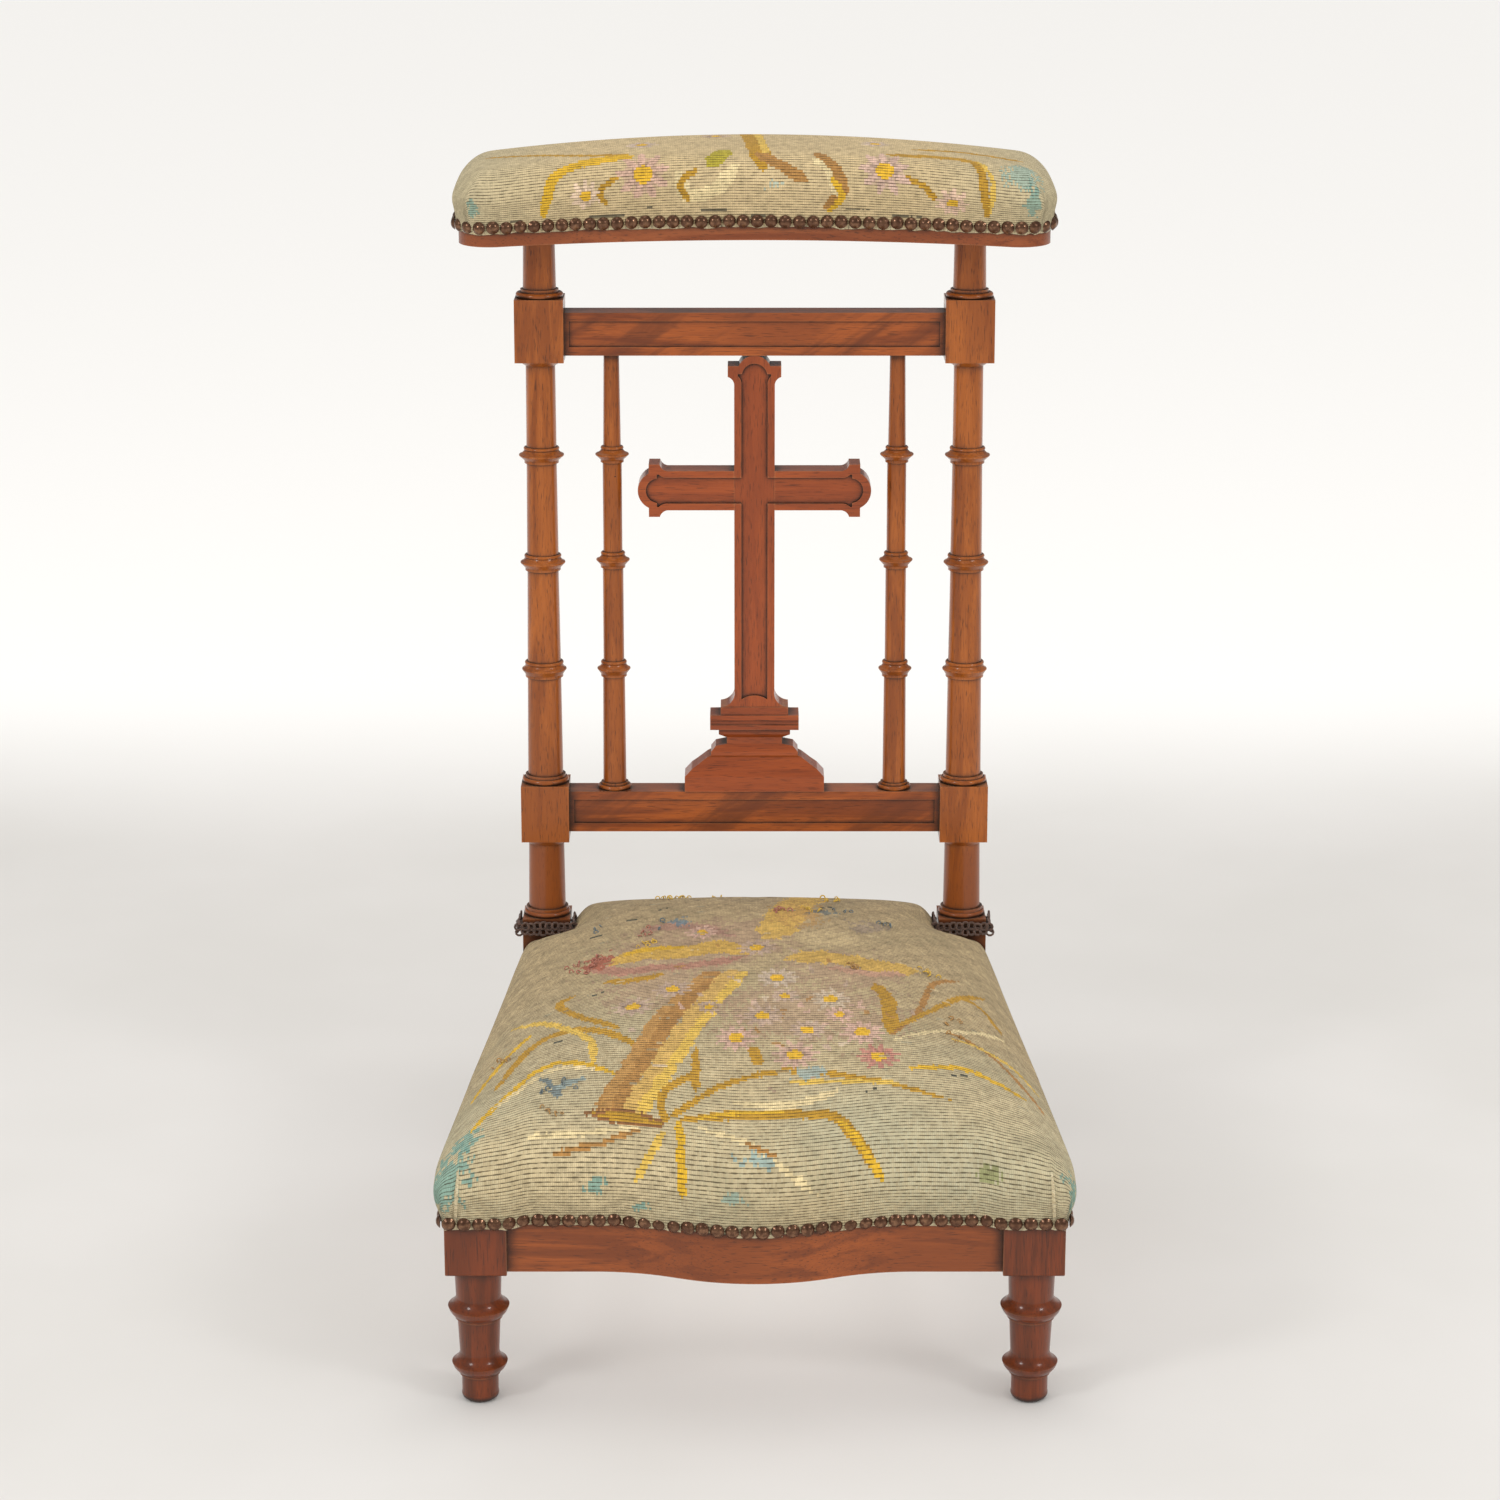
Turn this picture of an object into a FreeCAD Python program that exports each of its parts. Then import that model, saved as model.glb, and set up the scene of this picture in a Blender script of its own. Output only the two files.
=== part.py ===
import FreeCAD, Part
import os
import re
import Sketcher

# A low French prayer chair (prie-dieu) in walnut, with a needlepoint seat and elbow pad.
# The frame is X to the right as one looks at the front, Y towards the back, Z up, in millimetres.
# The origin is on the floor, in the middle of the box round the whole chair.
# The back (posts, rails, spindles and cross) is drawn upright, about its own axis, and then leans as one.

DOC = FreeCAD.newDocument("prie_dieu")
SHEET = DOC.addObject("Spreadsheet::Sheet", "Sizes")
UP = FreeCAD.Vector(0, 0, 1)
ACROSS = FreeCAD.Vector(1, 0, 0)

SIZES = {
    # seat frame
    "leg_spread": 198.0,
    "leg_line": -249.05,
    "leg_block": 44.0,
    "leg_block_low": 104.5,
    "rail_low": 105.0,
    "rail_top": 158.0,
    "rail_thick": 25.0,
    "rail_setback": 7.0,
    "front_sweep": 21.0,
    "front_curve_half": 112.0,
    "tenon_thick": 9.0,
    "tenon_margin": 7.0,
    "seat_tenon_long": 12.0,
    "back_tenon_long": 14.0,
    "glue_leg": 34.0,
    "glue_lift": 8.0,
    "screw_long": 12.0,
    "screw_radius": 2.0,
    "screw_head_radius": 3.8,
    "screw_head_deep": 2.4,
    "screw_sunk": 0.4,
    # turned front foot: radii and heights
    "foot_tip": 9.5,
    "foot_radius": 13.2,
    "foot_round": 6.0,
    "foot_top": 20.0,
    "fillet": 1.6,
    "low_ring_radius": 20.0,
    "low_ring_mid": 29.0,
    "low_ring_top": 37.0,
    "column_low_radius": 14.2,
    "column_high_radius": 15.5,
    "high_ring_low": 64.0,
    "high_ring_radius": 22.0,
    "high_ring_mid": 73.0,
    "high_ring_top": 80.0,
    "neck_low_radius": 16.2,
    "neck_high_radius": 17.0,
    # back
    "lean": 2.7,
    "back_line": 167.25,
    "post_spread": 166.6,
    "post_block": 38.0,
    "post_collar_low": 218.0,
    "post_collar_radius": 18.5,
    "collar_high": 4.2,
    "collar_step": 2.4,
    "spine_radius": 11.0,
    "base_column_low_radius": 14.8,
    "base_column_high_radius": 14.1,
    "low_block_low": 282.0,
    "low_block_top": 328.0,
    "third_column_low_radius": 14.0,
    "third_column_high_radius": 13.3,
    "post_ring_third": 420.7,
    "second_column_low_radius": 13.2,
    "second_column_high_radius": 12.3,
    "post_ring_second": 507.0,
    "first_column_low_radius": 12.4,
    "first_column_high_radius": 11.8,
    "post_ring_first": 592.7,
    "neck_column_low_radius": 11.8,
    "neck_column_high_radius": 11.5,
    "high_block_low": 667.5,
    "high_block_top": 716.5,
    "cap_column_low_radius": 12.9,
    "cap_column_high_radius": 12.3,
    "flare_high": 4.5,
    "ring_radius": 17.7,
    "ring_up": 6.4,
    "ring_down": 6.4,
    "ring_bead": 2.6,
    "ring_lip": 1.7,
    "rear_foot_kick": 34.0,
    "rear_foot_deep": 27.0,
    "rear_leg_bend": 112.0,
    # back rails
    "back_rail_thick": 26.0,
    "low_rail_low": 289.5,
    "low_rail_top": 322.5,
    "high_rail_low": 672.5,
    "high_rail_top": 706.0,
    "panel_border": 6.8,
    "panel_deep": 1.6,
    "panel_end_gap": 4.0,
    # spindles
    "spindle_spread": 111.4,
    "spindle_top_radius": 6.0,
    "spindle_first_radius": 6.9,
    "spindle_second_low_radius": 8.1,
    "spindle_second_high_radius": 7.5,
    "spindle_third_low_radius": 8.7,
    "spindle_third_high_radius": 8.2,
    "spindle_low_radius": 9.2,
    "spindle_ring_radius": 13.2,
    "spindle_ring_first": 593.2,
    "spindle_ring_second": 509.0,
    "spindle_ring_third": 421.0,
    "spindle_foot_radius": 13.2,
    "spindle_tenon_radius": 4.5,
    "spindle_tenon_long": 11.0,
    "dowel_radius": 4.0,
    "dowel_deep": 12.0,
    # cross
    "cross_thick": 25.0,
    "cross_half_wide": 15.8,
    "arm_half_high": 15.6,
    "arm_mid": 566.0,
    "arm_reach": 91.2,
    "lobe_rise": 8.6,
    "lobe_half": 13.6,
    "top_lobe_rise": 8.2,
    "top_lobe_half": 12.3,
    "shoulder_half": 20.8,
    "shoulder_flat": 8.6,
    "cove_long": 7.0,
    "panel_half": 10.2,
    "panel_shoulder": 12.9,
    "panel_lobe": 9.7,
    "panel_inset": 6.3,
    "panel_cove": 9.0,
    "panel_foot": 398.0,
    "cross_panel_deep": 2.2,
    "cross_flare_half": 26.7,
    "cross_flare_low": 391.7,
    "cross_flare_top": 405.5,
    # pedestal of the cross
    "base_half": 55.4,
    "base_top": 334.7,
    "ogee_half": 49.8,
    "ogee_mid": 340.8,
    "ogee_top_half": 45.2,
    "ogee_top": 344.0,
    "step_half": 37.4,
    "step_top": 350.0,
    "fillet_half": 34.5,
    "fillet_low": 351.5,
    "fillet_top": 354.5,
    "slope_half": 30.7,
    "slope_top": 359.0,
    "neck_half": 21.9,
    "neck_low": 360.8,
    "neck_top": 366.0,
    "bed_half": 28.3,
    "bed_low": 369.0,
    "cap_low": 373.2,
    "cap_half": 35.1,
    "cap_top": 385.2,
    "base_front": 14.0,
    "ogee_front": 11.2,
    "step_front": 10.4,
    "neck_front": 8.6,
    "cap_front": 14.0,
    "cap_groove_low": 377.0,
    "cap_groove_top": 380.5,
    "cap_groove_front": 12.8,
    # elbow board
    "board_low": 767.0,
    "board_thick": 21.0,
    "board_half": 225.0,
    "board_front": 162.25,
    "board_horn": 122.8,
    "horn_grow": 1.42,
    "horn_round": 24.0,
    "board_back": 284.95,
    "board_heel": 251.5,
    "heel_grow": 0.74,
    "heel_round": 32.0,
    "board_tenon_radius": 9.0,
    "board_tenon_long": 15.0,
    # soft parts
    "calico_thick": 0.5,
    "cover_thick": 1.3,
    "band_low": 141.0,
    "seat_bulge_up": 171.0,
    "seat_side_half": 220.0,
    "seat_rear_half": 186.0,
    "seat_shoulder": 200.0,
    "seat_side_shoulder": 202.0,
    "seat_crown": 240.0,
    "seat_back_edge": 193.25,
    "post_notch_half": 147.0,
    "post_notch_front": 153.75,
    "elbow_band_low": 777.0,
    "elbow_crown": 832.0,
    "elbow_round": 17.0,
    "web_wide": 60.0,
    "web_thick": 1.6,
    "web_spread": 96.0,
    "hessian_thick": 1.0,
    "tack_radius": 3.2,
    "tack_thick": 0.6,
    "nail_radius": 4.85,
    "nail_high": 3.0,
    "nail_pitch": 10.65,
    "seat_nail_line": 146.0,
    "elbow_nail_line": 782.0,
    "gimp_thick": 2.6,
    "gimp_high": 9.0,
    "gimp_line": 207.0,
    "gimp_deep": 30.0,
    "gimp_gap": 0.3,
}


def fill_sheet():
    """One row per size: its name, then its plain number, which carries the name as its alias."""
    for row, (name, number) in enumerate(SIZES.items(), start=1):
        SHEET.set("A%d" % row, name)
        SHEET.set("B%d" % row, str(number))
        SHEET.setAlias("B%d" % row, name)
    DOC.recompute()


def bound(text):
    """The text as a FreeCAD expression, with every size's name pointed at the sheet."""
    names = lambda word: "Sizes." + word.group() if word.group() in SIZES else word.group()
    return re.sub(r"[a-z][a-z_]+", names, str(text))


def number(text):
    """What an expression comes to, now."""
    return float(DOC.Sizes.evalExpression(bound(text)))


def point(pair):
    return FreeCAD.Vector(number(pair[0]), number(pair[1]), 0)


fill_sheet()
LEAN = FreeCAD.Placement(
    FreeCAD.Vector(0, number("back_line"), 0), FreeCAD.Rotation(ACROSS, -number("lean"))
)


# ---------------------------------------------------------------- sketches and bodies


def new_body(name, leaning=False):
    body = DOC.addObject("PartDesign::Body", name)
    body.Label = name
    if leaning:
        body.Placement = LEAN
    return body


def new_sketch(body, plane, shift="0"):
    """A sketch on one of the body's own origin planes, or parallel to it at a distance."""
    sketch = body.newObject("Sketcher::SketchObject", body.Name + "_outline")
    found = [part for part in body.Origin.OriginFeatures if part.Role == plane]
    sketch.AttachmentSupport = (found[0], [""])
    sketch.MapMode = "FlatFace"
    if shift != "0":
        sketch.setExpression("AttachmentOffset.Base.z", bound(shift))
    return sketch


def end_at(sketch, edge, corner):
    """Which end of an edge, 1 or 2, lies at a corner: arcs may run either way."""
    gaps = [sketch.getPoint(edge, end).distanceToPoint(corner) for end in (1, 2)]
    return 1 if gaps[0] < gaps[1] else 2


def pin(sketch, edge, end, pair):
    """Ties one point of a sketch to its two expressions."""
    for kind, text, axis in (("DistanceX", pair[0], -2), ("DistanceY", pair[1], -1)):
        if text == "0":
            sketch.addConstraint(Sketcher.Constraint("PointOnObject", edge, end, axis))
            continue
        added = sketch.addConstraint(Sketcher.Constraint(kind, edge, end, number(text)))
        sketch.setExpression("Constraints[%d]" % added, bound(text))


def outline(sketch, steps):
    """A closed outline. A step is a corner to go straight to, or a point to bend through and a corner.
    The first step comes from the last corner."""
    corners = [step[-2:] for step in steps]
    first = sketch.GeometryCount
    bends = []
    for place, step in enumerate(steps):
        begin, end = point(corners[place - 1]), point(corners[place])
        if len(step) == 4:
            bends.append((first + place, step[:2]))
            sketch.addGeometry(Part.Arc(begin, point(step[:2]), end), False)
        else:
            sketch.addGeometry(Part.LineSegment(begin, end), False)
    for place, corner in enumerate(corners):
        edge = first + place
        after = first + (place + 1) % len(corners)
        here = point(corner)
        ends = end_at(sketch, edge, here), end_at(sketch, after, here)
        sketch.addConstraint(Sketcher.Constraint("Coincident", edge, ends[0], after, ends[1]))
        pin(sketch, edge, ends[0], corner)
    for edge, middle in bends:
        mark = sketch.addGeometry(Part.Point(point(middle)), True)
        sketch.addConstraint(Sketcher.Constraint("PointOnObject", mark, 1, edge))
        pin(sketch, mark, 1, middle)


def turn(body, steps):
    """A turned piece: the half outline (radius, height) goes round the body's own Z axis."""
    sketch = new_sketch(body, "XZ_Plane")
    outline(sketch, steps)
    turning = body.newObject("PartDesign::Revolution", body.Name + "_turning")
    turning.Profile = sketch
    turning.ReferenceAxis = (sketch, ["V_Axis"])
    turning.Angle = 360
    return body


def pad(body, plane, steps, length, shift="0", both_ways=False):
    """An outline given its thickness, along the plane's normal or half each way."""
    sketch = new_sketch(body, plane, shift)
    outline(sketch, steps)
    feature = body.newObject("PartDesign::Pad", body.Name + "_pad")
    feature.Profile = sketch
    feature.setExpression("Length", bound(length))
    if both_ways:
        feature.SideType = "Symmetric"
    return feature


def sink(body, plane, steps, depth, shift, reverse):
    """A pocket cut into a body. Its direction is given, and check_cuts compares the volumes."""
    sketch = new_sketch(body, plane, shift)
    outline(sketch, steps)
    feature = body.newObject("PartDesign::Pocket", body.Name + "_pocket")
    feature.Profile = sketch
    feature.setExpression("Length", bound(depth))
    feature.Reversed = reverse
    CUTS.append(feature)
    return feature


CUTS = []


def check_cuts():
    """A pocket that points away from its solid cuts nothing, so each is compared with its base."""
    for feature in CUTS:
        lost = feature.BaseFeature.Shape.Volume - feature.Shape.Volume
        if lost < 10:
            raise RuntimeError("%s cuts nothing" % feature.Name)


# ---------------------------------------------------------------- primitives and booleans


def put(shape, corner, turned=0.0, leaning=False):
    """Puts a primitive at a corner, turned about Z, and lets it lean with the back."""
    spot = FreeCAD.Vector(*[number(text) for text in corner])
    shape.Placement = FreeCAD.Placement(spot, FreeCAD.Rotation(UP, turned))
    if leaning:
        shape.Placement = LEAN.multiply(shape.Placement)
    return shape


def box(name, size, corner, turned=0.0, leaning=False):
    block = DOC.addObject("Part::Box", name)
    for side, text in zip(("Length", "Width", "Height"), size):
        block.setExpression(side, bound(text))
    return put(block, corner, turned, leaning)


def rod(name, radius, height, foot, leaning=False):
    peg = DOC.addObject("Part::Cylinder", name)
    peg.setExpression("Radius", bound(radius))
    peg.setExpression("Height", bound(height))
    return put(peg, foot, 0.0, leaning)


def fuse(name, *shapes):
    whole = DOC.addObject("Part::MultiFuse", name)
    whole.Shapes = list(shapes)
    return whole


def common(name, *shapes):
    whole = DOC.addObject("Part::MultiCommon", name)
    whole.Shapes = list(shapes)
    return whole


def cut(name, base, *tools):
    """base with every tool taken away."""
    whole = DOC.addObject("Part::Cut", name)
    whole.Base = base
    whole.Tool = tools[0] if len(tools) == 1 else fuse(name + "_tools", *tools)
    return whole


def group(name, solids):
    """Identical small pieces as separate solids in one node."""
    whole = DOC.addObject("Part::Feature", name)
    whole.Shape = Part.makeCompound(solids)
    return whole


def both_sides():
    """The two sides of the chair: the name's ending and the sign of X."""
    return (("left", -1), ("right", 1))


NODES = {}


def node(name, shape):
    """Names a finished piece. Its name is its file's name."""
    shape.Label = name
    NODES[name] = shape
    return shape


# ---------------------------------------------------------------- seat frame

BLOCK_HALF = "leg_block / 2"
INNER_BLOCK = "(leg_spread - leg_block / 2)"
RAIL_FACE = "leg_line - leg_block / 2 + rail_setback"
TENON_LOW = "rail_low + tenon_margin"
TENON_HIGH = "rail_top - rail_low - 2 * tenon_margin"
SEAT_REAR = "back_line + 130 * tan(lean)"
SIDE_DRAW = "(leg_spread + leg_block / 2 - post_spread - post_block / 2)"


def leg_ring(ring, column_top):
    """A ring on the front foot: a rounded beak below and a hollow above, up to the next column."""
    radius, middle, top = ring + "_radius", ring + "_mid", ring + "_top"
    return [
        (radius + " - 1.4", middle + " - 3.6", radius, middle),
        (radius + " - 3.6", middle + " + 3.0", column_top, top),
    ]


def front_leg(side, sign, mortises):
    """A square block that takes the rails, over a turned foot with two rings."""
    body = new_body("leg_blank_" + side)
    steps = [
        ("0", "0"),
        ("foot_tip", "0"),
        ("foot_radius - 0.7", "1.7", "foot_radius", "foot_round"),
        ("foot_radius", "foot_top"),
        ("foot_radius + fillet", "foot_top"),
        ("foot_radius + fillet", "foot_top + fillet"),
        *leg_ring("low_ring", "column_low_radius"),
        ("column_high_radius", "high_ring_low"),
        ("column_high_radius + fillet", "high_ring_low"),
        ("column_high_radius + fillet", "high_ring_low + fillet"),
        *leg_ring("high_ring", "neck_low_radius"),
        ("neck_high_radius", "leg_block_low"),
        ("neck_high_radius", "leg_block_low + 5"),
        ("0", "leg_block_low + 5"),
    ]
    turn(body, steps)
    body.Placement.Base = FreeCAD.Vector(sign * number("leg_spread"), number("leg_line"), 0)
    corner = ("%d * leg_spread - %s" % (sign, BLOCK_HALF), "leg_line - " + BLOCK_HALF, "leg_block_low")
    block = box("leg_block_" + side, ("leg_block", "leg_block", "rail_top - leg_block_low"), corner)
    DOC.recompute()
    soft = DOC.addObject("Part::Chamfer", "leg_block_eased_" + side)
    soft.Base = block
    soft.Edges = [(place, 0.8, 0.8) for place in bottom_edges(block)]
    return node("front_leg_" + side, cut("leg_" + side, fuse("leg_whole_" + side, body, soft), *mortises))


def bottom_edges(block):
    """The numbers of the edges round the bottom of a box."""
    low = block.Shape.BoundBox.ZMin
    return [
        place
        for place, edge in enumerate(block.Shape.Edges, start=1)
        if edge.BoundBox.ZMax < low + 0.01
    ]


def serpentine(outward, back):
    """A plan of the front rail: flat beside the blocks, sweeping forward in the middle."""
    face = RAIL_FACE + " - " + outward
    eighth = face + " - front_sweep / 8"
    knee = face + " - front_sweep / 2"
    return [
        ("-" + INNER_BLOCK, face),
        ("-front_curve_half", face),
        ("-front_curve_half * 0.75", eighth, "-front_curve_half / 2", knee),
        ("0", face + " - front_sweep", "front_curve_half / 2", knee),
        ("front_curve_half * 0.75", eighth, "front_curve_half", face),
        (INNER_BLOCK, face),
        (INNER_BLOCK, back),
        ("-" + INNER_BLOCK, back),
    ]


def cross_rail(name, blank, reach, near, long):
    """A rail between two uprights, with a tenon at each end. Returns the rail's tenons by side."""
    tenons = {}
    for side, sign in both_sides():
        start = reach if sign > 0 else "-%s - %s" % (reach, long)
        size = (long, "tenon_thick", TENON_HIGH)
        tenons[side] = box(name + "_tenon_" + side, size, (start, near, TENON_LOW))
    node(name, fuse(name + "_whole", blank, *tenons.values()))
    return tenons


def side_rail(side, sign):
    """A side rail runs from the front block to the post and draws in towards the back."""
    outer = "%d * (leg_spread + leg_block / 2 - %s)"
    near, far = "leg_line + leg_block / 2", SEAT_REAR + " - post_block / 2"
    rail = new_body("side_rail_blank_" + side)
    corners = [
        (outer % (sign, "rail_thick"), near),
        (outer % (sign, "0"), near),
        (outer % (sign, SIDE_DRAW), far),
        (outer % (sign, SIDE_DRAW + " - rail_thick"), far),
    ]
    pad(rail, "XY_Plane", corners, "rail_top - rail_low", "rail_low")
    half = " - tenon_thick / 2"
    front = box(
        "side_front_tenon_" + side,
        ("tenon_thick", "back_tenon_long + 1", TENON_HIGH),
        (outer % (sign, "rail_thick / 2") + half, near + " - back_tenon_long", TENON_LOW),
    )
    rear = box(
        "side_rear_tenon_" + side,
        ("tenon_thick", "seat_tenon_long", TENON_HIGH),
        (outer % (sign, SIDE_DRAW + " - rail_thick / 2") + half, far + " - 1", TENON_LOW),
    )
    node("side_seat_rail_" + side, fuse("side_rail_whole_" + side, rail, front, rear))
    return front, rear


def seat_frame():
    """Four rails tenoned into the leg blocks and the posts. Returns the tenons that cut each upright."""
    front = new_body("front_rail_blank")
    pad(front, "XY_Plane", serpentine("0", RAIL_FACE + " + rail_thick"), "rail_top - rail_low", "rail_low")
    front_tenons = cross_rail("front_seat_rail", front, INNER_BLOCK, RAIL_FACE + " + 8", "seat_tenon_long")
    reach = "(post_spread - post_block / 2)"
    near = SEAT_REAR + " + post_block / 2 - rail_thick"
    size = ("2 * " + reach, "rail_thick", "rail_top - rail_low")
    rear = box("rear_rail_blank", size, ("-" + reach, near, "rail_low"))
    rear_tenons = cross_rail("rear_seat_rail", rear, reach, near + " + 10", "seat_tenon_long")
    cuts = {}
    for side, sign in both_sides():
        side_front, side_rear = side_rail(side, sign)
        cuts["leg_" + side] = [front_tenons[side], side_front]
        cuts["post_" + side] = [rear_tenons[side], side_rear]
    return cuts


def corner_blocks():
    """Three-cornered glue blocks inside the frame, each held by two wood screws."""
    screws = []
    low, leg, radius = number("rail_low + glue_lift"), number("glue_leg"), number("screw_radius")
    head, sunk = (number("screw_head_radius"), number("screw_head_deep")), number("screw_sunk")
    rear_face = number(SEAT_REAR + " + post_block / 2 - rail_thick")
    places = {
        "front": (number("leg_spread - leg_block / 2"), number(RAIL_FACE + " + rail_thick"), 1),
        "rear": (number("post_spread - post_block / 2"), rear_face, -1),
    }
    for end, (across, along, inward) in places.items():
        for side, sign in both_sides():
            corners = [
                FreeCAD.Vector(sign * (across - 1), along, low),
                FreeCAD.Vector(sign * (across - 1 - leg), along, low),
                FreeCAD.Vector(sign * (across - 1), along + inward * leg, low),
            ]
            prism = Part.Face(Part.makePolygon(corners + corners[:1])).extrude(UP * leg)
            axis = FreeCAD.Vector(sign, -inward, 0).normalize()
            for level in (0.3, 0.7):
                middle = (corners[1] + corners[2]) * 0.5 + UP * leg * level + axis * sunk
                shank = Part.makeCylinder(radius, number("screw_long"), middle, axis)
                screws.append(Part.makeCone(head[0], radius, head[1], middle, axis).fuse(shank))
                prism = prism.cut(screws[-1])
            block = DOC.addObject("Part::Feature", "glue_block")
            block.Shape = prism
            node("corner_block_%s_%s" % (end, side), block)
    node("corner_block_screws", group("corner_screws", screws))


# ---------------------------------------------------------------- the back, drawn upright


def collar(low, column):
    """A rounded collar on top of a square block, then a small step in to the column."""
    return [
        ("post_collar_radius - 1.2", low),
        (
            "post_collar_radius",
            low + " + collar_high / 2",
            "post_collar_radius - 1.4",
            low + " + collar_high",
        ),
        (column + " + 2", low + " + collar_high"),
        (column + " + 2", low + " + collar_high + collar_step"),
        (column, low + " + collar_high + collar_step"),
    ]


def bead_ring(middle, radius, below, above, lip):
    """A ring on a turned column: a lip, a sharp beak, a hollow and a bead."""
    hollow, bead = "(%s + %s + %s) / 2 - 0.6" % (radius, above, lip), middle + " + ring_up"
    return [
        (below, middle + " - ring_down"),
        ("%s + %s" % (below, lip), middle + " - ring_down"),
        ("%s + %s" % (below, lip), middle + " - ring_down + 2"),
        (radius + " - 0.5", middle + " - 1.1"),
        (radius, middle + " - 0.3", radius + " - 0.5", middle + " + 0.5"),
        (hollow, middle + " + 1.7", above + " + " + lip, bead + " - ring_bead"),
        (above + " + " + lip + " + 0.5", bead + " - ring_bead / 2", above + " + 0.4", bead),
        (above, middle + " + ring_up"),
    ]


def post_ring(middle, below, above):
    return bead_ring(middle, "ring_radius", below, above, "ring_lip")


def spindle_ring(middle, below, above):
    return bead_ring(middle, "spindle_ring_radius", below, above, "fillet")


def into_block(column, low, top):
    """A column flares to the width of a square block, and a thin spine goes through it."""
    return [
        (column, low + " - flare_high"),
        ("post_block / 2 - 0.4", low),
        ("spine_radius", low),
        ("spine_radius", top),
    ]


def rear_post(side, sign, mortises, lean_mortises):
    """One piece from the floor to the elbow board: kicked-back leg, square blocks, turned columns."""
    body = new_body("post_turning_" + side, leaning=True)
    steps = [
        ("0", "post_collar_low - 4"),
        ("spine_radius", "post_collar_low - 4"),
        ("spine_radius", "post_collar_low"),
        *collar("post_collar_low", "base_column_low_radius"),
        *into_block("base_column_high_radius", "low_block_low", "low_block_top"),
        *collar("low_block_top", "third_column_low_radius"),
        *post_ring("post_ring_third", "third_column_high_radius", "second_column_low_radius"),
        *post_ring("post_ring_second", "second_column_high_radius", "first_column_low_radius"),
        *post_ring("post_ring_first", "first_column_high_radius", "neck_column_low_radius"),
        *into_block("neck_column_high_radius", "high_block_low", "high_block_top"),
        *collar("high_block_top", "cap_column_low_radius"),
        ("cap_column_high_radius", "board_low - 7"),
        ("cap_column_high_radius - 0.6", "board_low - 3", "cap_column_high_radius - 2", "board_low + 2.5"),
        ("0", "board_low + 2.5"),
    ]
    turn(body, steps)
    shift = FreeCAD.Placement(FreeCAD.Vector(sign * number("post_spread"), 0, 0), FreeCAD.Rotation())
    body.Placement = LEAN.multiply(shift)
    half = "%d * post_spread - post_block / 2" % sign
    blocks = []
    for name, low, top in (
        ("low_block_", "low_block_low", "low_block_top"),
        ("high_block_", "high_block_low", "high_block_top"),
        ("seat_block_", "rear_leg_bend", "post_collar_low"),
    ):
        size = ("post_block", "post_block", top + " - " + low)
        blocks.append(box(name + side, size, (half, "-post_block / 2", low), leaning=True))
    leg = new_body("rear_leg_" + side)
    bend = "back_line + (rear_leg_bend + 4) * tan(lean)"
    near, far, foot = bend + " - post_block / 2", bend + " + post_block / 2", bend + " + rear_foot_kick"
    corners = [
        (near + " + 0.2", "rear_leg_bend + 4"),
        (near, "rail_low"),
        (near + " + rear_foot_kick * 0.3", "rail_low * 0.5", foot + " - rear_foot_deep / 2", "0"),
        (foot + " + rear_foot_deep / 2", "0"),
        (far + " + rear_foot_kick * 0.2", "rail_low * 0.5", far, "rail_low"),
        (far + " - 0.2", "rear_leg_bend + 4"),
    ]
    pad(leg, "YZ_Plane", corners, "post_block", both_ways=True)
    leg.Placement.Base = FreeCAD.Vector(sign * number("post_spread"), 0, 0)
    whole = fuse("post_whole_" + side, body, leg, *blocks)
    above_post = ("%d * post_spread - 40" % sign, "back_line - 10", "board_low")
    trimmer = box("post_trim_" + side, ("80", "80", "30"), above_post)
    trimmed = cut("post_trimmed_" + side, whole, trimmer)
    tenon = rod(
        "post_tenon_" + side,
        "board_tenon_radius",
        "board_tenon_long + 4",
        ("%d * post_spread" % sign, "back_line + board_low * tan(lean)", "board_low - 4"),
    )
    tenoned = fuse("post_tenoned_" + side, trimmed, tenon)
    node("rear_post_" + side, cut("post_" + side, tenoned, *mortises, *lean_mortises))
    return tenon


def back_rail(level, low, top, holes):
    """A straight rail between the posts' blocks, with a shallow sunk panel in its front face."""
    reach = "(post_spread - post_block / 2)"
    name = level + "_back_rail"
    body = new_body(level + "_rail_blank", leaning=True)
    corners = [("-" + reach, low), (reach, low), (reach, top), ("-" + reach, top)]
    pad(body, "XZ_Plane", corners, "back_rail_thick", both_ways=True)
    edge, foot, head = reach + " - panel_end_gap", low + " + panel_border", top + " - panel_border"
    panel = [("-(" + edge + ")", foot), (edge, foot), (edge, head), ("-(" + edge + ")", head)]
    sink(body, "XZ_Plane", panel, "panel_deep", "back_rail_thick / 2", reverse=False)
    tenons = {}
    for side, sign in both_sides():
        start = reach if sign > 0 else "-" + reach + " - back_tenon_long"
        size = ("back_tenon_long", "tenon_thick", top + " - " + low + " - 8")
        corner = (start, "-tenon_thick / 2", low + " + 4")
        tenons[side] = box(name + "_tenon_" + side, size, corner, leaning=True)
    whole = fuse(name + "_whole", body, *tenons.values())
    node(name, cut(name + "_bored", whole, *holes))
    return tenons


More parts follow.
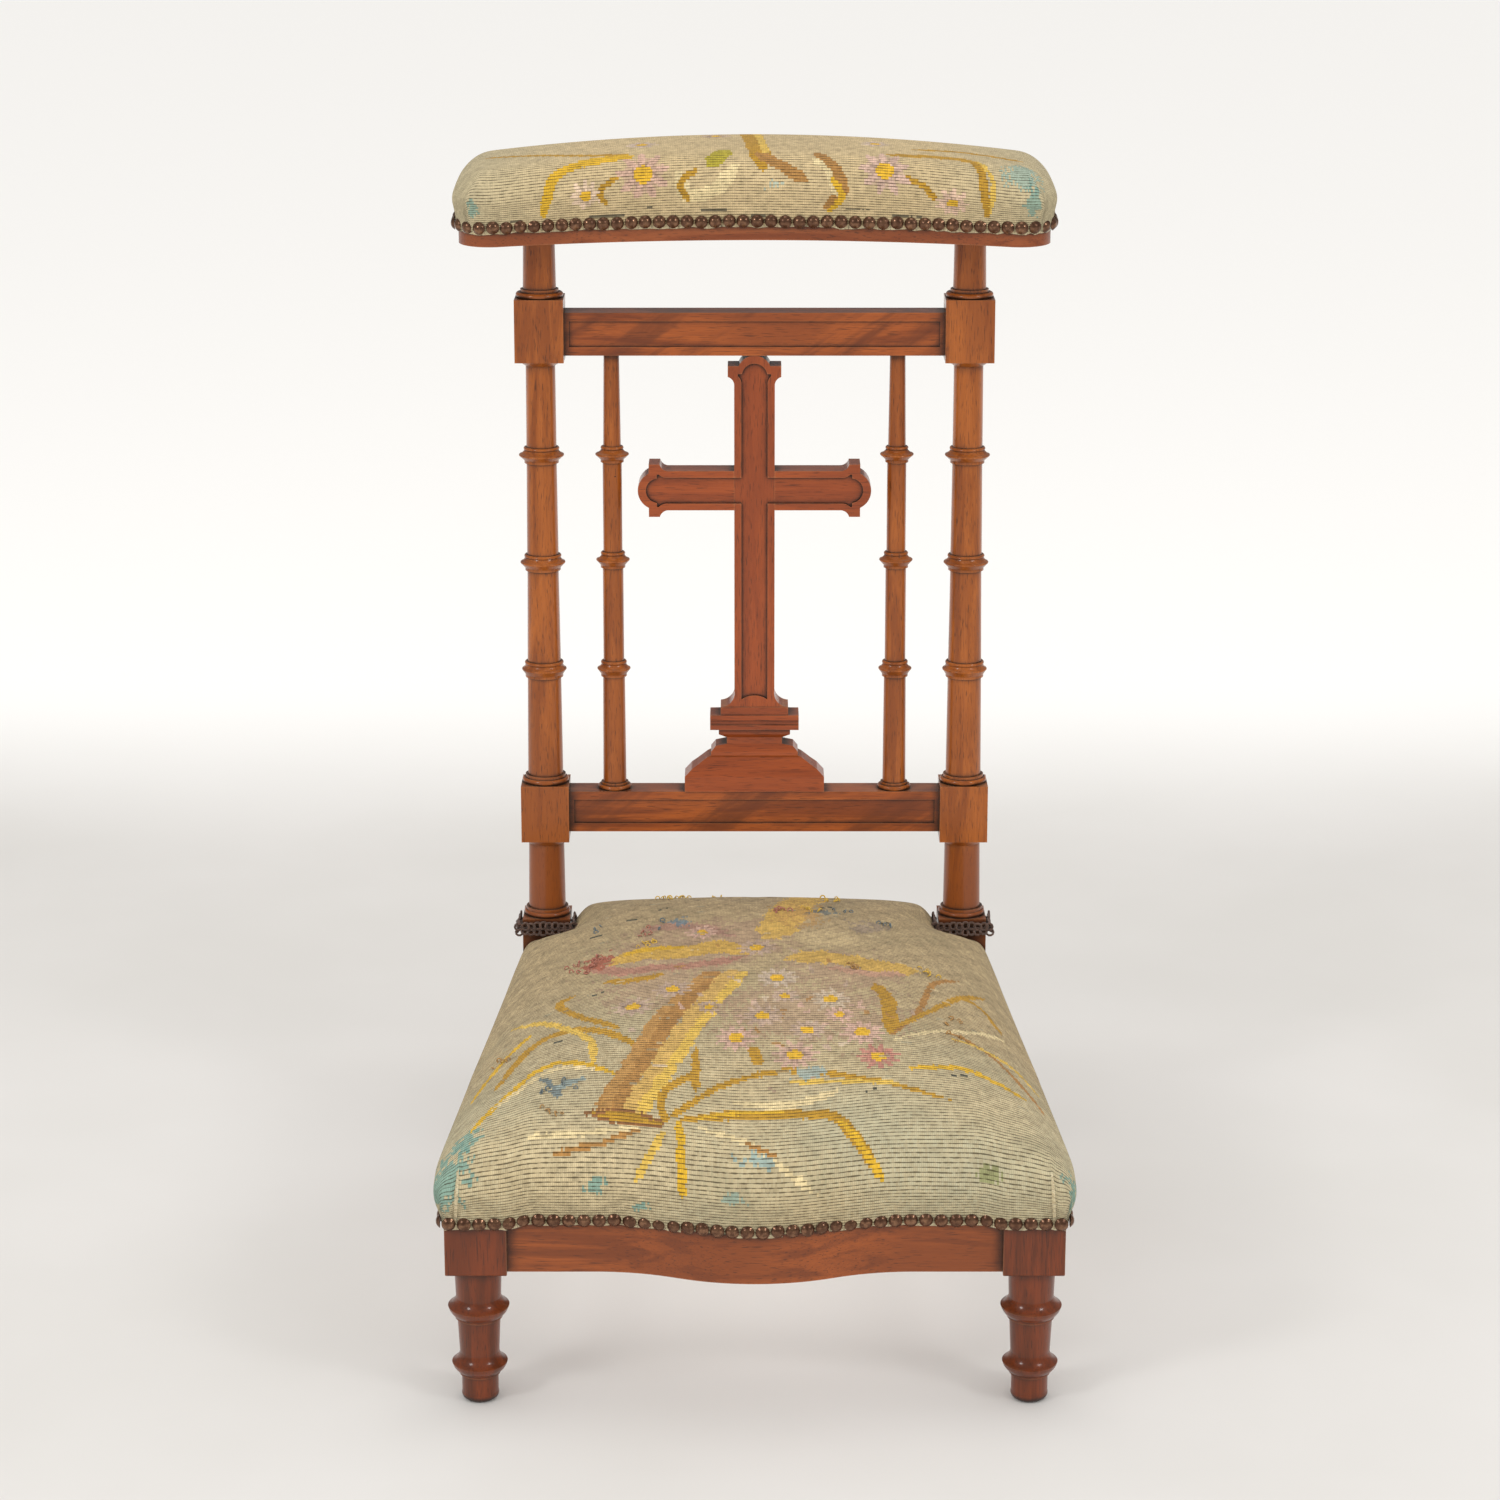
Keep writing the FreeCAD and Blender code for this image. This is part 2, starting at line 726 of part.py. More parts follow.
def spindle(side, sign):
    """A slim turned spindle that grows thicker downwards over three rings."""
    body = new_body("spindle_blank_" + side, leaning=True)
    steps = [
        ("0", "low_rail_top - spindle_tenon_long"),
        ("spindle_tenon_radius", "low_rail_top - spindle_tenon_long"),
        ("spindle_tenon_radius", "low_rail_top"),
        ("spindle_foot_radius - 0.8", "low_rail_top"),
        ("spindle_foot_radius", "low_rail_top + 1.8", "spindle_foot_radius - 0.8", "low_rail_top + 3.6"),
        ("spindle_low_radius + 1.6", "low_rail_top + 3.6"),
        ("spindle_low_radius + 1.6", "low_rail_top + 5.6"),
        ("spindle_low_radius", "low_rail_top + 5.6"),
        *spindle_ring("spindle_ring_third", "spindle_third_low_radius", "spindle_third_high_radius"),
        *spindle_ring("spindle_ring_second", "spindle_second_low_radius", "spindle_second_high_radius"),
        *spindle_ring("spindle_ring_first", "spindle_second_high_radius", "spindle_first_radius"),
        ("spindle_top_radius", "high_rail_low"),
        ("spindle_tenon_radius", "high_rail_low"),
        ("spindle_tenon_radius", "high_rail_low + spindle_tenon_long"),
        ("0", "high_rail_low + spindle_tenon_long"),
    ]
    turn(body, steps)
    shift = FreeCAD.Placement(FreeCAD.Vector(sign * number("spindle_spread"), 0, 0), FreeCAD.Rotation())
    body.Placement = LEAN.multiply(shift)
    return node("spindle_" + side, body)


def arm_end(sign):
    """The end of the cross's arm on one side, from its lower edge round to its upper edge."""
    x = "%d * (%%s)" % sign
    corner = "(arm_reach - lobe_rise)"
    neck = corner + " - shoulder_flat"
    cove, bend = x % (neck + " - cove_long"), x % (neck + " - cove_long * 0.32")
    low, high = "arm_mid - %s", "arm_mid + %s"
    return [
        (cove, low % "arm_half_high"),
        (bend, low % "(arm_half_high + 1.6)", x % neck, low % "shoulder_half"),
        (x % corner, low % "shoulder_half"),
        (x % corner, low % "lobe_half"),
        (x % "arm_reach", "arm_mid", x % corner, high % "lobe_half"),
        (x % corner, high % "shoulder_half"),
        (x % neck, high % "shoulder_half"),
        (bend, high % "(arm_half_high + 1.6)", cove, high % "arm_half_high"),
    ]


def cross_notch(name, half_wide, low, top, back):
    """The half-lap: a block as deep as half the cross, in front of or behind its middle."""
    near = "0" if back else "-cross_thick / 2 - 1"
    size = ("2 * " + half_wide, "cross_thick / 2 + 1", "%s - (%s)" % (top, low))
    return box(name, size, ("-" + half_wide, near, low), leaning=True)


def upright_outline():
    """The front view of the upright: flared foot, straight sides, and a head with shoulders and a lobe."""
    corner = "(high_rail_low - top_lobe_rise)"
    flat, cove = corner + " - shoulder_flat", corner + " - shoulder_flat - cove_long"
    wide, bend = "cross_half_wide", "cross_half_wide + (cross_flare_half - cross_half_wide) * 0.25"
    rise = "cross_flare_low + (cross_flare_top - cross_flare_low) * 0.28"
    return [
        ("cross_flare_half", "cross_flare_low"),
        (bend, rise, wide, "cross_flare_top"),
        (wide, cove),
        (wide + " + 1.5", cove + " + cove_long * 0.68", "shoulder_half", flat),
        ("shoulder_half", corner),
        ("top_lobe_half", corner),
        ("0", "high_rail_low", "-top_lobe_half", corner),
        ("-shoulder_half", corner),
        ("-shoulder_half", flat),
        ("-" + wide + " - 1.5", cove + " + cove_long * 0.68", "-" + wide, cove),
        ("-" + wide, "cross_flare_top"),
        ("-(" + bend + ")", rise, "-cross_flare_half", "cross_flare_low"),
    ]


def upright_panel():
    """The sunk panel of the upright follows its head, and ends in an arch at the foot."""
    corner = "(high_rail_low - top_lobe_rise - panel_inset)"
    cove = corner + " - panel_cove"
    return [
        ("0", "panel_foot + 3.2", "panel_half", "panel_foot"),
        ("panel_half", cove),
        ("panel_half + 0.6", cove + " + panel_cove * 0.5", "panel_shoulder", corner + " - 1.5"),
        ("panel_shoulder", corner),
        ("panel_lobe", corner),
        ("0", "high_rail_low - panel_inset", "-panel_lobe", corner),
        ("-panel_shoulder", corner),
        ("-panel_shoulder", corner + " - 1.5"),
        ("-panel_half - 0.6", cove + " + panel_cove * 0.5", "-panel_half", cove),
        ("-panel_half", "panel_foot"),
    ]


def arm_panel_end(sign):
    """The sunk panel at one end of the arm, from its lower edge round to its upper edge."""
    x = "%d * (%%s)" % sign
    corner = "arm_reach - lobe_rise - panel_inset"
    low, high = "arm_mid - %s", "arm_mid + %s"
    bend = x % (corner + " - panel_cove * 0.5")
    return [
        (x % (corner + " - panel_cove"), low % "panel_half"),
        (bend, low % "(panel_half + 0.6)", x % (corner + " - 1.5"), low % "panel_shoulder"),
        (x % corner, low % "panel_shoulder"),
        (x % corner, low % "panel_lobe"),
        (x % "arm_reach - panel_inset", "arm_mid", x % corner, high % "panel_lobe"),
        (x % corner, high % "panel_shoulder"),
        (x % (corner + " - 1.5"), high % "panel_shoulder"),
        (bend, high % "(panel_half + 0.6)", x % (corner + " - panel_cove"), high % "panel_half"),
    ]


def mirrored_ends(end):
    """A right end, then the same end on the left, in one closed outline."""
    left = []
    right = end(1)
    back = list(reversed(end(-1)))
    for place, step in enumerate(back):
        before = back[place - 1]
        bend = before[:2] if place and len(before) == 4 else ()
        left.append((*bend, *step[-2:]))
    return right + left


def cross(dowels):
    """Upright and arm, half-lapped: the upright runs through in front, the arm behind."""
    upright = new_body("upright_blank", leaning=True)
    pad(upright, "XZ_Plane", upright_outline(), "cross_thick", both_ways=True)
    front = "cross_thick / 2"
    sink(upright, "XZ_Plane", upright_panel(), "cross_panel_deep", front, reverse=False)
    strip_low, strip_top = "arm_mid - panel_half", "arm_mid + panel_half"
    wide = "cross_half_wide + 1"
    left = "-(%s)" % wide
    strip = [(left, strip_low), (wide, strip_low), (wide, strip_top), (left, strip_top)]
    sink(upright, "XZ_Plane", strip, "cross_panel_deep", front, reverse=False)
    low, top = "arm_mid - arm_half_high", "arm_mid + arm_half_high"
    lap = cross_notch("upright_lap", "(cross_half_wide + 2)", low, top, back=True)
    node("cross_upright", cut("upright_lapped", upright, lap, *dowels))
    arm = new_body("arm_blank", leaning=True)
    pad(arm, "XZ_Plane", mirrored_ends(arm_end), "cross_thick", both_ways=True)
    sink(arm, "XZ_Plane", mirrored_ends(arm_panel_end), "cross_panel_deep", front, reverse=False)
    gap = cross_notch("arm_lap", "cross_half_wide", low + " - 2", top + " + 2", back=False)
    node("cross_arm", cut("arm_lapped", arm, gap))


def pedestal(dowel):
    """The stepped foot of the cross: sawn to shape from the front, then moulded across its face."""
    rows = [
        ("base_half", "base_front", "low_rail_top"),
        ("base_half", "base_front", "base_top"),
        ("ogee_half", "ogee_front + 1.6", "ogee_mid"),
        ("ogee_top_half", "ogee_front", "ogee_top"),
        ("step_half", "step_front - 0.6", "step_top"),
        ("fillet_half", "step_front", "fillet_low"),
        ("fillet_half", "step_front", "fillet_top"),
        ("slope_half", "neck_front + 0.6", "slope_top"),
        ("neck_half", "neck_front", "neck_low"),
        ("neck_half", "neck_front", "neck_top"),
        ("bed_half", "neck_front + 2.4", "bed_low"),
        ("bed_half", "neck_front + 2.4", "cap_low"),
        ("cap_half", "cap_front", "cap_low + 0.1"),
        ("cap_half", "cap_front", "cap_groove_low"),
        ("cap_half", "cap_groove_front", "cap_groove_low + 0.6"),
        ("cap_half", "cap_groove_front", "cap_groove_top"),
        ("cap_half", "cap_front", "cap_groove_top + 0.6"),
        ("cap_half", "cap_front", "cap_top"),
        ("cross_flare_half", "cross_thick / 2 + 0.5", "cap_top + 0.1"),
        ("cross_flare_half", "cross_thick / 2 + 0.5", "cross_flare_low"),
    ]
    sawn = new_body("pedestal_sawn", leaning=True)
    right = [(half, level) for half, front, level in rows if "groove" not in level]
    left = [("-" + half, level) for half, level in reversed(right)]
    pad(sawn, "XZ_Plane", right + left, "40", both_ways=True)
    moulded = new_body("pedestal_moulding", leaning=True)
    face = [("-(%s)" % front, level) for half, front, level in rows]
    back = [("cross_thick / 2", "cross_flare_low"), ("cross_thick / 2", "low_rail_top")]
    pad(moulded, "YZ_Plane", face + back, "2 * base_half + 4", both_ways=True)
    node("cross_pedestal", cut("pedestal_bored", common("pedestal_shape", sawn, moulded), dowel))


def back_frame(cuts):
    """Posts, rails, spindles and the cross, with every tenon and dowel cut from what it enters."""
    foot_long = "cross_flare_low - low_rail_top + 2 * dowel_deep"
    top_spot, foot_spot = ("0", "0", "high_rail_low - dowel_deep"), ("0", "0", "low_rail_top - dowel_deep")
    pins = [
        rod("top_dowel", "dowel_radius", "2 * dowel_deep", top_spot, leaning=True),
        rod("foot_dowel", "dowel_radius", foot_long, foot_spot, leaning=True),
    ]
    spindles = [spindle(side, sign) for side, sign in both_sides()]
    low_tenons = back_rail("lower", "low_rail_low", "low_rail_top", spindles + pins[1:])
    high_tenons = back_rail("upper", "high_rail_low", "high_rail_top", spindles + pins[:1])
    cross(pins)
    pedestal(pins[1])
    DOC.recompute()
    node("cross_dowels", group("dowel_pair", [dowel.Shape.copy() for dowel in pins]))
    return [
        rear_post(side, sign, cuts["post_" + side], [low_tenons[side], high_tenons[side]])
        for side, sign in both_sides()
    ]


# ---------------------------------------------------------------- elbow board and soft parts


def board_plan(grow):
    """A crescent plan: hollow in front, where the person leans, and bowed behind."""
    half = "(board_half + %s)" % grow
    horn, heel = "board_horn - horn_grow * " + grow, "board_heel + heel_grow * " + grow
    return [
        ("-" + half, horn),
        ("0", "board_front - " + grow, half, horn),
        (half, heel),
        ("0", "board_back + " + grow, "-" + half, heel),
    ]


def crescent(name, grow, low, high):
    """A flat piece of the crescent plan, with its horns in front and its heels behind rounded."""
    body = new_body(name + "_blank")
    pad(body, "XY_Plane", board_plan(grow), "%s - (%s)" % (high, low), low)
    DOC.recompute()
    eased = DOC.addObject("Part::Fillet", name + "_eased")
    eased.Base = body
    horn, heel = number("horn_round + " + grow), number("heel_round + " + grow)
    rounds = []
    for place, edge in enumerate(body.Shape.Edges, start=1):
        if edge.BoundBox.ZLength > 1:
            radius = horn if edge.BoundBox.YMax < number("board_front") else heel
            rounds.append((place, radius, radius))
    eased.Edges = rounds
    return eased


def top_edges(shape):
    """The numbers of the edges round the top face of a flat-topped solid."""
    top = shape.BoundBox.ZMax
    return [place for place, edge in enumerate(shape.Edges, start=1) if edge.BoundBox.ZMin > top - 0.01]


def elbow_pad(name, grow, low):
    """A crescent pad with a well-rounded top edge. Each layer grows out of the one below it."""
    block = crescent(name, grow, low, "elbow_crown + " + grow)
    DOC.recompute()
    soft = DOC.addObject("Part::Fillet", name)
    soft.Base = block
    radius = number("elbow_round + " + grow)
    soft.Edges = [(place, radius, radius) for place in top_edges(block.Shape)]
    return soft


def seat_plan(grow, spill="0"):
    """The plan of the seat's soft parts: the frame's own outline, notched round the two posts.
    A tool that hollows a layer spills past the notches."""
    side, rear = "(seat_side_half + %s)" % grow, "(seat_rear_half + %s)" % grow
    face, leg_back = "leg_line - leg_block / 2 - " + grow, "leg_line + leg_block / 2"
    steps = serpentine(grow, "0")[1:5]
    back = "(seat_back_edge + %s)" % grow
    notch_half, notch_front = "(post_notch_half + %s)" % spill, "(post_notch_front + %s)" % spill
    return [
        ("-" + side, face),
        ("-" + INNER_BLOCK, face),
        ("-(" + INNER_BLOCK + " - 16)", face + " + rail_setback"),
        *steps,
        (INNER_BLOCK + " - 16", face + " + rail_setback"),
        (INNER_BLOCK, face),
        (side, face),
        (side, leg_back),
        (rear, notch_front),
        (notch_half, notch_front),
        (notch_half, back),
        ("-" + notch_half, back),
        ("-" + notch_half, notch_front),
        ("-" + rear, notch_front),
        ("-" + side, leg_back),
    ]


def seat_pad(name, grow, low, spill="0"):
    """A crowned cushion: its plan, its side view and its front view meet in one solid."""
    plan = new_body(name + "_plan")
    pad(plan, "XY_Plane", seat_plan(grow, spill), "120", low)
    front = "(leg_line - leg_block / 2 + rail_setback - front_sweep - 0.6 - %s)" % grow
    back = "(seat_back_edge + 0.6 + %s)" % grow
    crown = "(seat_crown + %s)" % grow
    side = new_body(name + "_side")
    steps = [
        (front, low),
        (front, "seat_bulge_up"),
        (front + " + 7", "seat_bulge_up + 19", front + " + 30", "seat_shoulder + " + grow),
        (front + " + 150", crown + " - 10", "60", crown),
        ("back_line - 40", crown + " - 1.6", "back_line - 5", crown + " - 9"),
        (back + " - 5", crown + " - 24", back, "seat_bulge_up + 10"),
        (back, low),
    ]
    pad(side, "YZ_Plane", steps, "520", both_ways=True)
    face = new_body(name + "_face")
    half = "(seat_side_half + 0.6 + %s)" % grow
    steps = [
        ("-" + half, low),
        (half, low),
        (half, "seat_bulge_up"),
        (half + " - 5", "seat_bulge_up + 19", half + " - 24", "seat_side_shoulder + " + grow),
        ("0", crown + " + 5", "-(" + half + " - 24)", "seat_side_shoulder + " + grow),
        ("-(" + half + " - 5)", "seat_bulge_up + 19", "-" + half, "seat_bulge_up"),
    ]
    pad(face, "XZ_Plane", steps, "700", both_ways=True)
    return common(name, plan, side, face)


def soft_parts():
    """Stuffing, calico and needlepoint cover: each layer is a shell over the one below."""
    calico, cover = "calico_thick", "(calico_thick + cover_thick)"
    for part, make, low in (("seat", seat_pad, "band_low"), ("elbow", elbow_pad, "elbow_band_low")):
        under = low + " - 3"
        for layer, grow, hollow in (("calico", calico, "0"), ("cover", cover, calico)):
            name = "%s_%s" % (part, layer)
            block, room = make(name + "_block", grow, low), make(name + "_hollow", hollow, under)
            shell = cut(name + "_shell", block, room)
            node(name, shell)
    node("seat_stuffing", seat_pad("seat_filling", "0", "rail_top + 2 * web_thick + hessian_thick"))
    node("elbow_stuffing", elbow_pad("elbow_filling", "0", "board_low + board_thick"))


def webbing():
    """Jute straps over the rails, three each way, with tacks at their ends, and hessian over them."""
    long_low, cross_low = number("rail_top"), number("rail_top + web_thick")
    wide, thick = number("web_wide"), number("web_thick")
    near, far = number(RAIL_FACE + " + 6"), number(SEAT_REAR + " + post_block / 2 - 6")
    shares, from_end = (-0.35, 0, 0.35), 8
    long_straps, cross_straps, tacks = [], [], []
    for step in (-1, 0, 1):
        middle = step * number("web_spread")
        strap = Part.makeBox(wide, far - near, thick, FreeCAD.Vector(middle - wide / 2, near, long_low))
        for end in (near + from_end, far - from_end):
            tacks += [tack(middle + wide * share, end, long_low + thick) for share in shares]
        long_straps.append(strap.cut(tacks[-6:]))
    run = number("leg_line + leg_block / 2"), number(SEAT_REAR + " - post_block / 2")
    for step in (0.16, 0.5, 0.84):
        middle = run[0] + (run[1] - run[0]) * step
        half = number("leg_spread + leg_block / 2 - 5") - number(SIDE_DRAW) * step
        corner = FreeCAD.Vector(-half, middle - wide / 2, cross_low)
        strap = Part.makeBox(2 * half, wide, thick, corner)
        for end in (from_end - half, half - from_end):
            tacks += [tack(end, middle + wide * share, cross_low + thick) for share in shares]
        cross_straps.append(strap.cut(tacks[-6:]))
    node("webbing_long", group("long_straps", long_straps))
    node("webbing_cross", group("cross_straps", cross_straps))
    node("webbing_tacks", group("strap_tacks", tacks))
    hessian = new_body("hessian_sheet")
    half_front, half_rear = "(seat_side_half - 8)", "(seat_rear_half - 8)"
    near_edge, far_edge = RAIL_FACE + " + 4", "post_notch_front"
    steps = [
        ("-(leg_spread - leg_block / 2)", near_edge),
        ("leg_spread - leg_block / 2", near_edge),
        (half_front, near_edge),
        (half_rear, far_edge),
        ("post_notch_half", far_edge),
        ("post_notch_half", "seat_back_edge - 8"),
        ("-post_notch_half", "seat_back_edge - 8"),
        ("-post_notch_half", far_edge),
        ("-" + half_rear, far_edge),
        ("-" + half_front, near_edge),
    ]
    pad(hessian, "XY_Plane", steps, "hessian_thick", "rail_top + 2 * web_thick")
    node("seat_hessian", hessian)


def tack(x, y, z):
    """A small round tack head, pressed into a strap until it is level with it."""
    thick = number("tack_thick")
    return Part.makeCylinder(number("tack_radius"), thick, FreeCAD.Vector(x, y, z - thick))


# ---------------------------------------------------------------- nails and gimp


def nail(spot, outward):
    """A domed nail head. Its flat back lies on the cloth."""
    radius, high = number("nail_radius"), number("nail_high")
    ball = (radius * radius + high * high) / (2 * high)
    sphere = Part.makeSphere(ball, spot - outward * (ball - high), outward)
    return sphere.common(Part.makeCylinder(radius + 1, high + 1, spot, outward))


def plan_wire(steps, level, first, last):
    """Part of an outline as a wire at a height, from one corner to another."""
    edges = []
    for place in range(first + 1, last + 1):
        step = steps[place]
        begin, end = point(steps[place - 1][-2:]), point(step[-2:])
        bent = len(step) == 4
        edges.append(Part.Arc(begin, point(step[:2]), end) if bent else Part.LineSegment(begin, end))
    wire = Part.Wire([edge.toShape() for edge in edges])
    wire.translate(UP * level)
    return wire


def outward(wire, face, spot):
    """The level direction out of a face, at a point of a wire along its edge."""
    edge = min(wire.Edges, key=lambda one: one.distToShape(Part.Vertex(spot))[0])
    normal = edge.tangentAt(edge.Curve.parameter(spot)).cross(UP).normalize()
    return normal * -1 if face.isInside(spot + normal, 0.01, True) else normal


def even_places(wire, inset):
    """Places at the nails' pitch along a wire, a little in from both ends."""
    run = wire.Length - 2 * inset
    gaps = round(run / number("nail_pitch"))
    fine = wire.discretize(Distance=0.25)
    shares = [(inset + run * place / gaps) / wire.Length for place in range(gaps + 1)]
    return [fine[round(share * (len(fine) - 1))] for share in shares]


def nails():
    """Close-set nails along the lower edge of both covers."""
    level = number("seat_nail_line")
    steps = seat_plan("(calico_thick + cover_thick)")
    whole = Part.Face(plan_wire(steps + steps[:1], level, 0, len(steps)))
    # the corners of the plan between which a row runs; the left row mirrors the right one
    front_right, post_right, back_right = len(steps) - 9, len(steps) - 7, len(steps) - 5
    rows = {
        "front": (0, front_right),
        "right": (front_right, post_right),
        "rear": (back_right, back_right + 1),
    }
    for name, (first, last) in rows.items():
        wire = plan_wire(steps, level, first, last)
        spots = even_places(wire, number("nail_radius") + 0.6)
        solids = [nail(spot, outward(wire, whole, spot)) for spot in spots]
        node("seat_nails_" + name, group("nails_" + name, solids))
        if name == "right":
            mirror = [solid.mirror(FreeCAD.Vector(0, 0, 0), ACROSS) for solid in solids]
            node("seat_nails_left", group("nails_left", mirror))


def elbow_nails():
    """Nails round the elbow board, in two rows that meet in the middle of its ends."""
    DOC.recompute()
    rings = NODES["elbow_cover"].Shape.slice(UP, number("elbow_nail_line"))
    wire = max(rings, key=lambda ring: ring.Length)
    face = Part.Face(wire)
    spots = even_places(wire, 0)[:-1]
    split = number("(board_horn + board_heel) / 2")
    for name, rows in (
        ("front", [spot for spot in spots if spot.y < split]),
        ("back", [spot for spot in spots if spot.y >= split]),
    ):
        solids = [nail(spot, outward(wire, face, spot)) for spot in rows]
        node("elbow_nails_" + name, group("board_nails_" + name, solids))


def gimp():
    """A flat braid round three sides of each post, where the cover is cut away."""
    half, thick = number("post_block / 2 + gimp_gap"), number("gimp_thick")
    high, deep, level = number("gimp_high"), number("gimp_deep"), number("gimp_line")
    for side, sign in both_sides():
        middle = sign * number("post_spread")
        front = number("back_line + gimp_line * tan(lean)") - half
        corner = FreeCAD.Vector(middle - half, front, level)
        outer = Part.makeBox(2 * (half + thick), deep, high, corner - FreeCAD.Vector(thick, thick, 0))
        inner = Part.makeBox(2 * half, deep, high, corner)
        braid = DOC.addObject("Part::Feature", "braid")
        braid.Shape = outer.cut(inner)
        node("post_gimp_" + side, braid)


# ---------------------------------------------------------------- build, check and write


def check():
    """Every object must be up to date, and every piece a valid solid or group of solids."""
    for item in DOC.Objects:
        if "Invalid" in item.State or "Error" in item.State:
            raise RuntimeError("%s failed: %s" % (item.Name, item.State))
    for name, piece in NODES.items():
        shape = piece.Shape
        if shape.isNull() or not shape.isValid() or not shape.Solids:
            raise RuntimeError("%s has no valid solid" % name)
    check_cuts()


def write():
    os.makedirs("parts", exist_ok=True)
    whole = FreeCAD.BoundBox()
    for name, piece in NODES.items():
        piece.Shape.exportStep("parts/%s.step" % name)
        whole.add(piece.Shape.BoundBox)
        print("%-28s %3d solids %9.1f cm3" % (name, len(piece.Shape.Solids), piece.Shape.Volume / 1000))
    for axis in "XYZ":
        print(axis, round(getattr(whole, axis + "Min"), 2), round(getattr(whole, axis + "Max"), 2))


def main():
    cuts = seat_frame()
    for side, sign in both_sides():
        front_leg(side, sign, cuts["leg_" + side])
    corner_blocks()
    tenons = back_frame(cuts)
    board = crescent("board", "0", "board_low", "board_low + board_thick")
    node("elbow_board", cut("board_bored", board, *tenons))
    soft_parts()
    webbing()
    nails()
    elbow_nails()
    gimp()
    DOC.recompute()
    check()
    write()


main()
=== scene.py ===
# %% [markdown]
# # A French prayer chair
# The joinery comes from the CAD frame and keeps its shape: it only gets its finishes here.
# The soft parts are made in this script, over the places that the frame gives:
# two needlepoint cushions, the calico edge under them, the nails and the braid round the posts.

import math

import bmesh
import bpy
import numpy as np
from mathutils import Matrix, Vector, noise


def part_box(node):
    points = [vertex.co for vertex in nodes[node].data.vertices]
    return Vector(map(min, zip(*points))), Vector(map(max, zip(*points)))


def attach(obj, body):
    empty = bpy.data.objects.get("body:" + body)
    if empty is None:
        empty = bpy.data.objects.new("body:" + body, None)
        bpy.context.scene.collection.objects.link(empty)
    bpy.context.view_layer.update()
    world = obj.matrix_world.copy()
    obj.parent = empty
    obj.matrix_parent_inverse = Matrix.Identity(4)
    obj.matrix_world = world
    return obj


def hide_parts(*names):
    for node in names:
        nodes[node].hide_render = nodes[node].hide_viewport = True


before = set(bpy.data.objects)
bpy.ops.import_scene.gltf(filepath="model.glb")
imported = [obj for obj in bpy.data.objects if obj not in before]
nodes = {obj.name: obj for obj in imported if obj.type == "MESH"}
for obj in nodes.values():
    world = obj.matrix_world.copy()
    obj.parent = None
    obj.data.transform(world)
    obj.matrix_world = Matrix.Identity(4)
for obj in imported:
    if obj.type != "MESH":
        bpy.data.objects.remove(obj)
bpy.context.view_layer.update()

# %% [markdown]
# ## Measures
# Sizes are in metres. Places that the frame knows are read from it, and the soft parts' own sizes stand
# at the top of their cells. In the seat's needlework a stitch is 1.4 mm wide and a row 3 mm high.

# %% Measures
MM = 0.001
leg_low, leg_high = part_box("front_leg_left")
leg_line = (leg_low.y + leg_high.y) / 2
cover_low, cover_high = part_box("seat_cover")
pad_low, pad_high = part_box("elbow_cover")
rail_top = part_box("front_seat_rail")[1].z
print("leg line", round(leg_line, 4), "seat crown", round(cover_high.z, 4), "pad", round(pad_high.z, 4))

# %% [markdown]
# ## Helpers for node groups
# An effect that several finishes use is a node group, built once. Its inputs carry each finish's values.
# The small helpers below keep the wiring readable: one adds a node, one links, one does arithmetic.


# %% Node helpers
class Wiring:
    """Adds nodes to one tree and links them."""

    def __init__(self, tree):
        self.tree = tree

    def add(self, kind, **settings):
        made = self.tree.nodes.new("ShaderNode" + kind)
        for name, value in settings.items():
            setattr(made, name, value)
        return made

    def feed(self, socket, value):
        """A link if the value is a socket, a constant if it isn't."""
        if isinstance(value, bpy.types.NodeSocket):
            self.tree.links.new(value, socket)
        elif value is not None:
            socket.default_value = value

    def math(self, operation, first, second=None, third=None, clamp=False):
        step = self.add("Math", operation=operation, use_clamp=clamp)
        for socket, value in zip(step.inputs, (first, second, third)):
            self.feed(socket, value)
        return step.outputs[0]

    def ramp(self, value, low, high, to_low=0.0, to_high=1.0):
        """A smooth step from to_low at low to to_high at high."""
        step = self.add("MapRange", interpolation_type="SMOOTHSTEP")
        for socket, given in zip(step.inputs, (value, low, high, to_low, to_high)):
            self.feed(socket, given)
        return step.outputs[0]

    def mix(self, share, first, second, blend="MIX"):
        step = self.add("Mix", data_type="RGBA", blend_type=blend)
        self.feed(step.inputs["Factor"], share)
        self.feed(step.inputs[6], first)
        self.feed(step.inputs[7], second)
        return step.outputs[2]

    def stretch(self, vector, scale):
        step = self.add("Mapping")
        self.feed(step.inputs["Vector"], vector)
        self.feed(step.inputs["Scale"], scale)
        return step.outputs[0]

    def noise(self, vector, scale, detail=2.0, roughness=0.5, distortion=0.0):
        step = self.add("TexNoise")
        names = ("Vector", "Scale", "Detail", "Roughness", "Distortion")
        for name, value in zip(names, (vector, scale, detail, roughness, distortion)):
            self.feed(step.inputs[name], value)
        return step.outputs["Fac"]


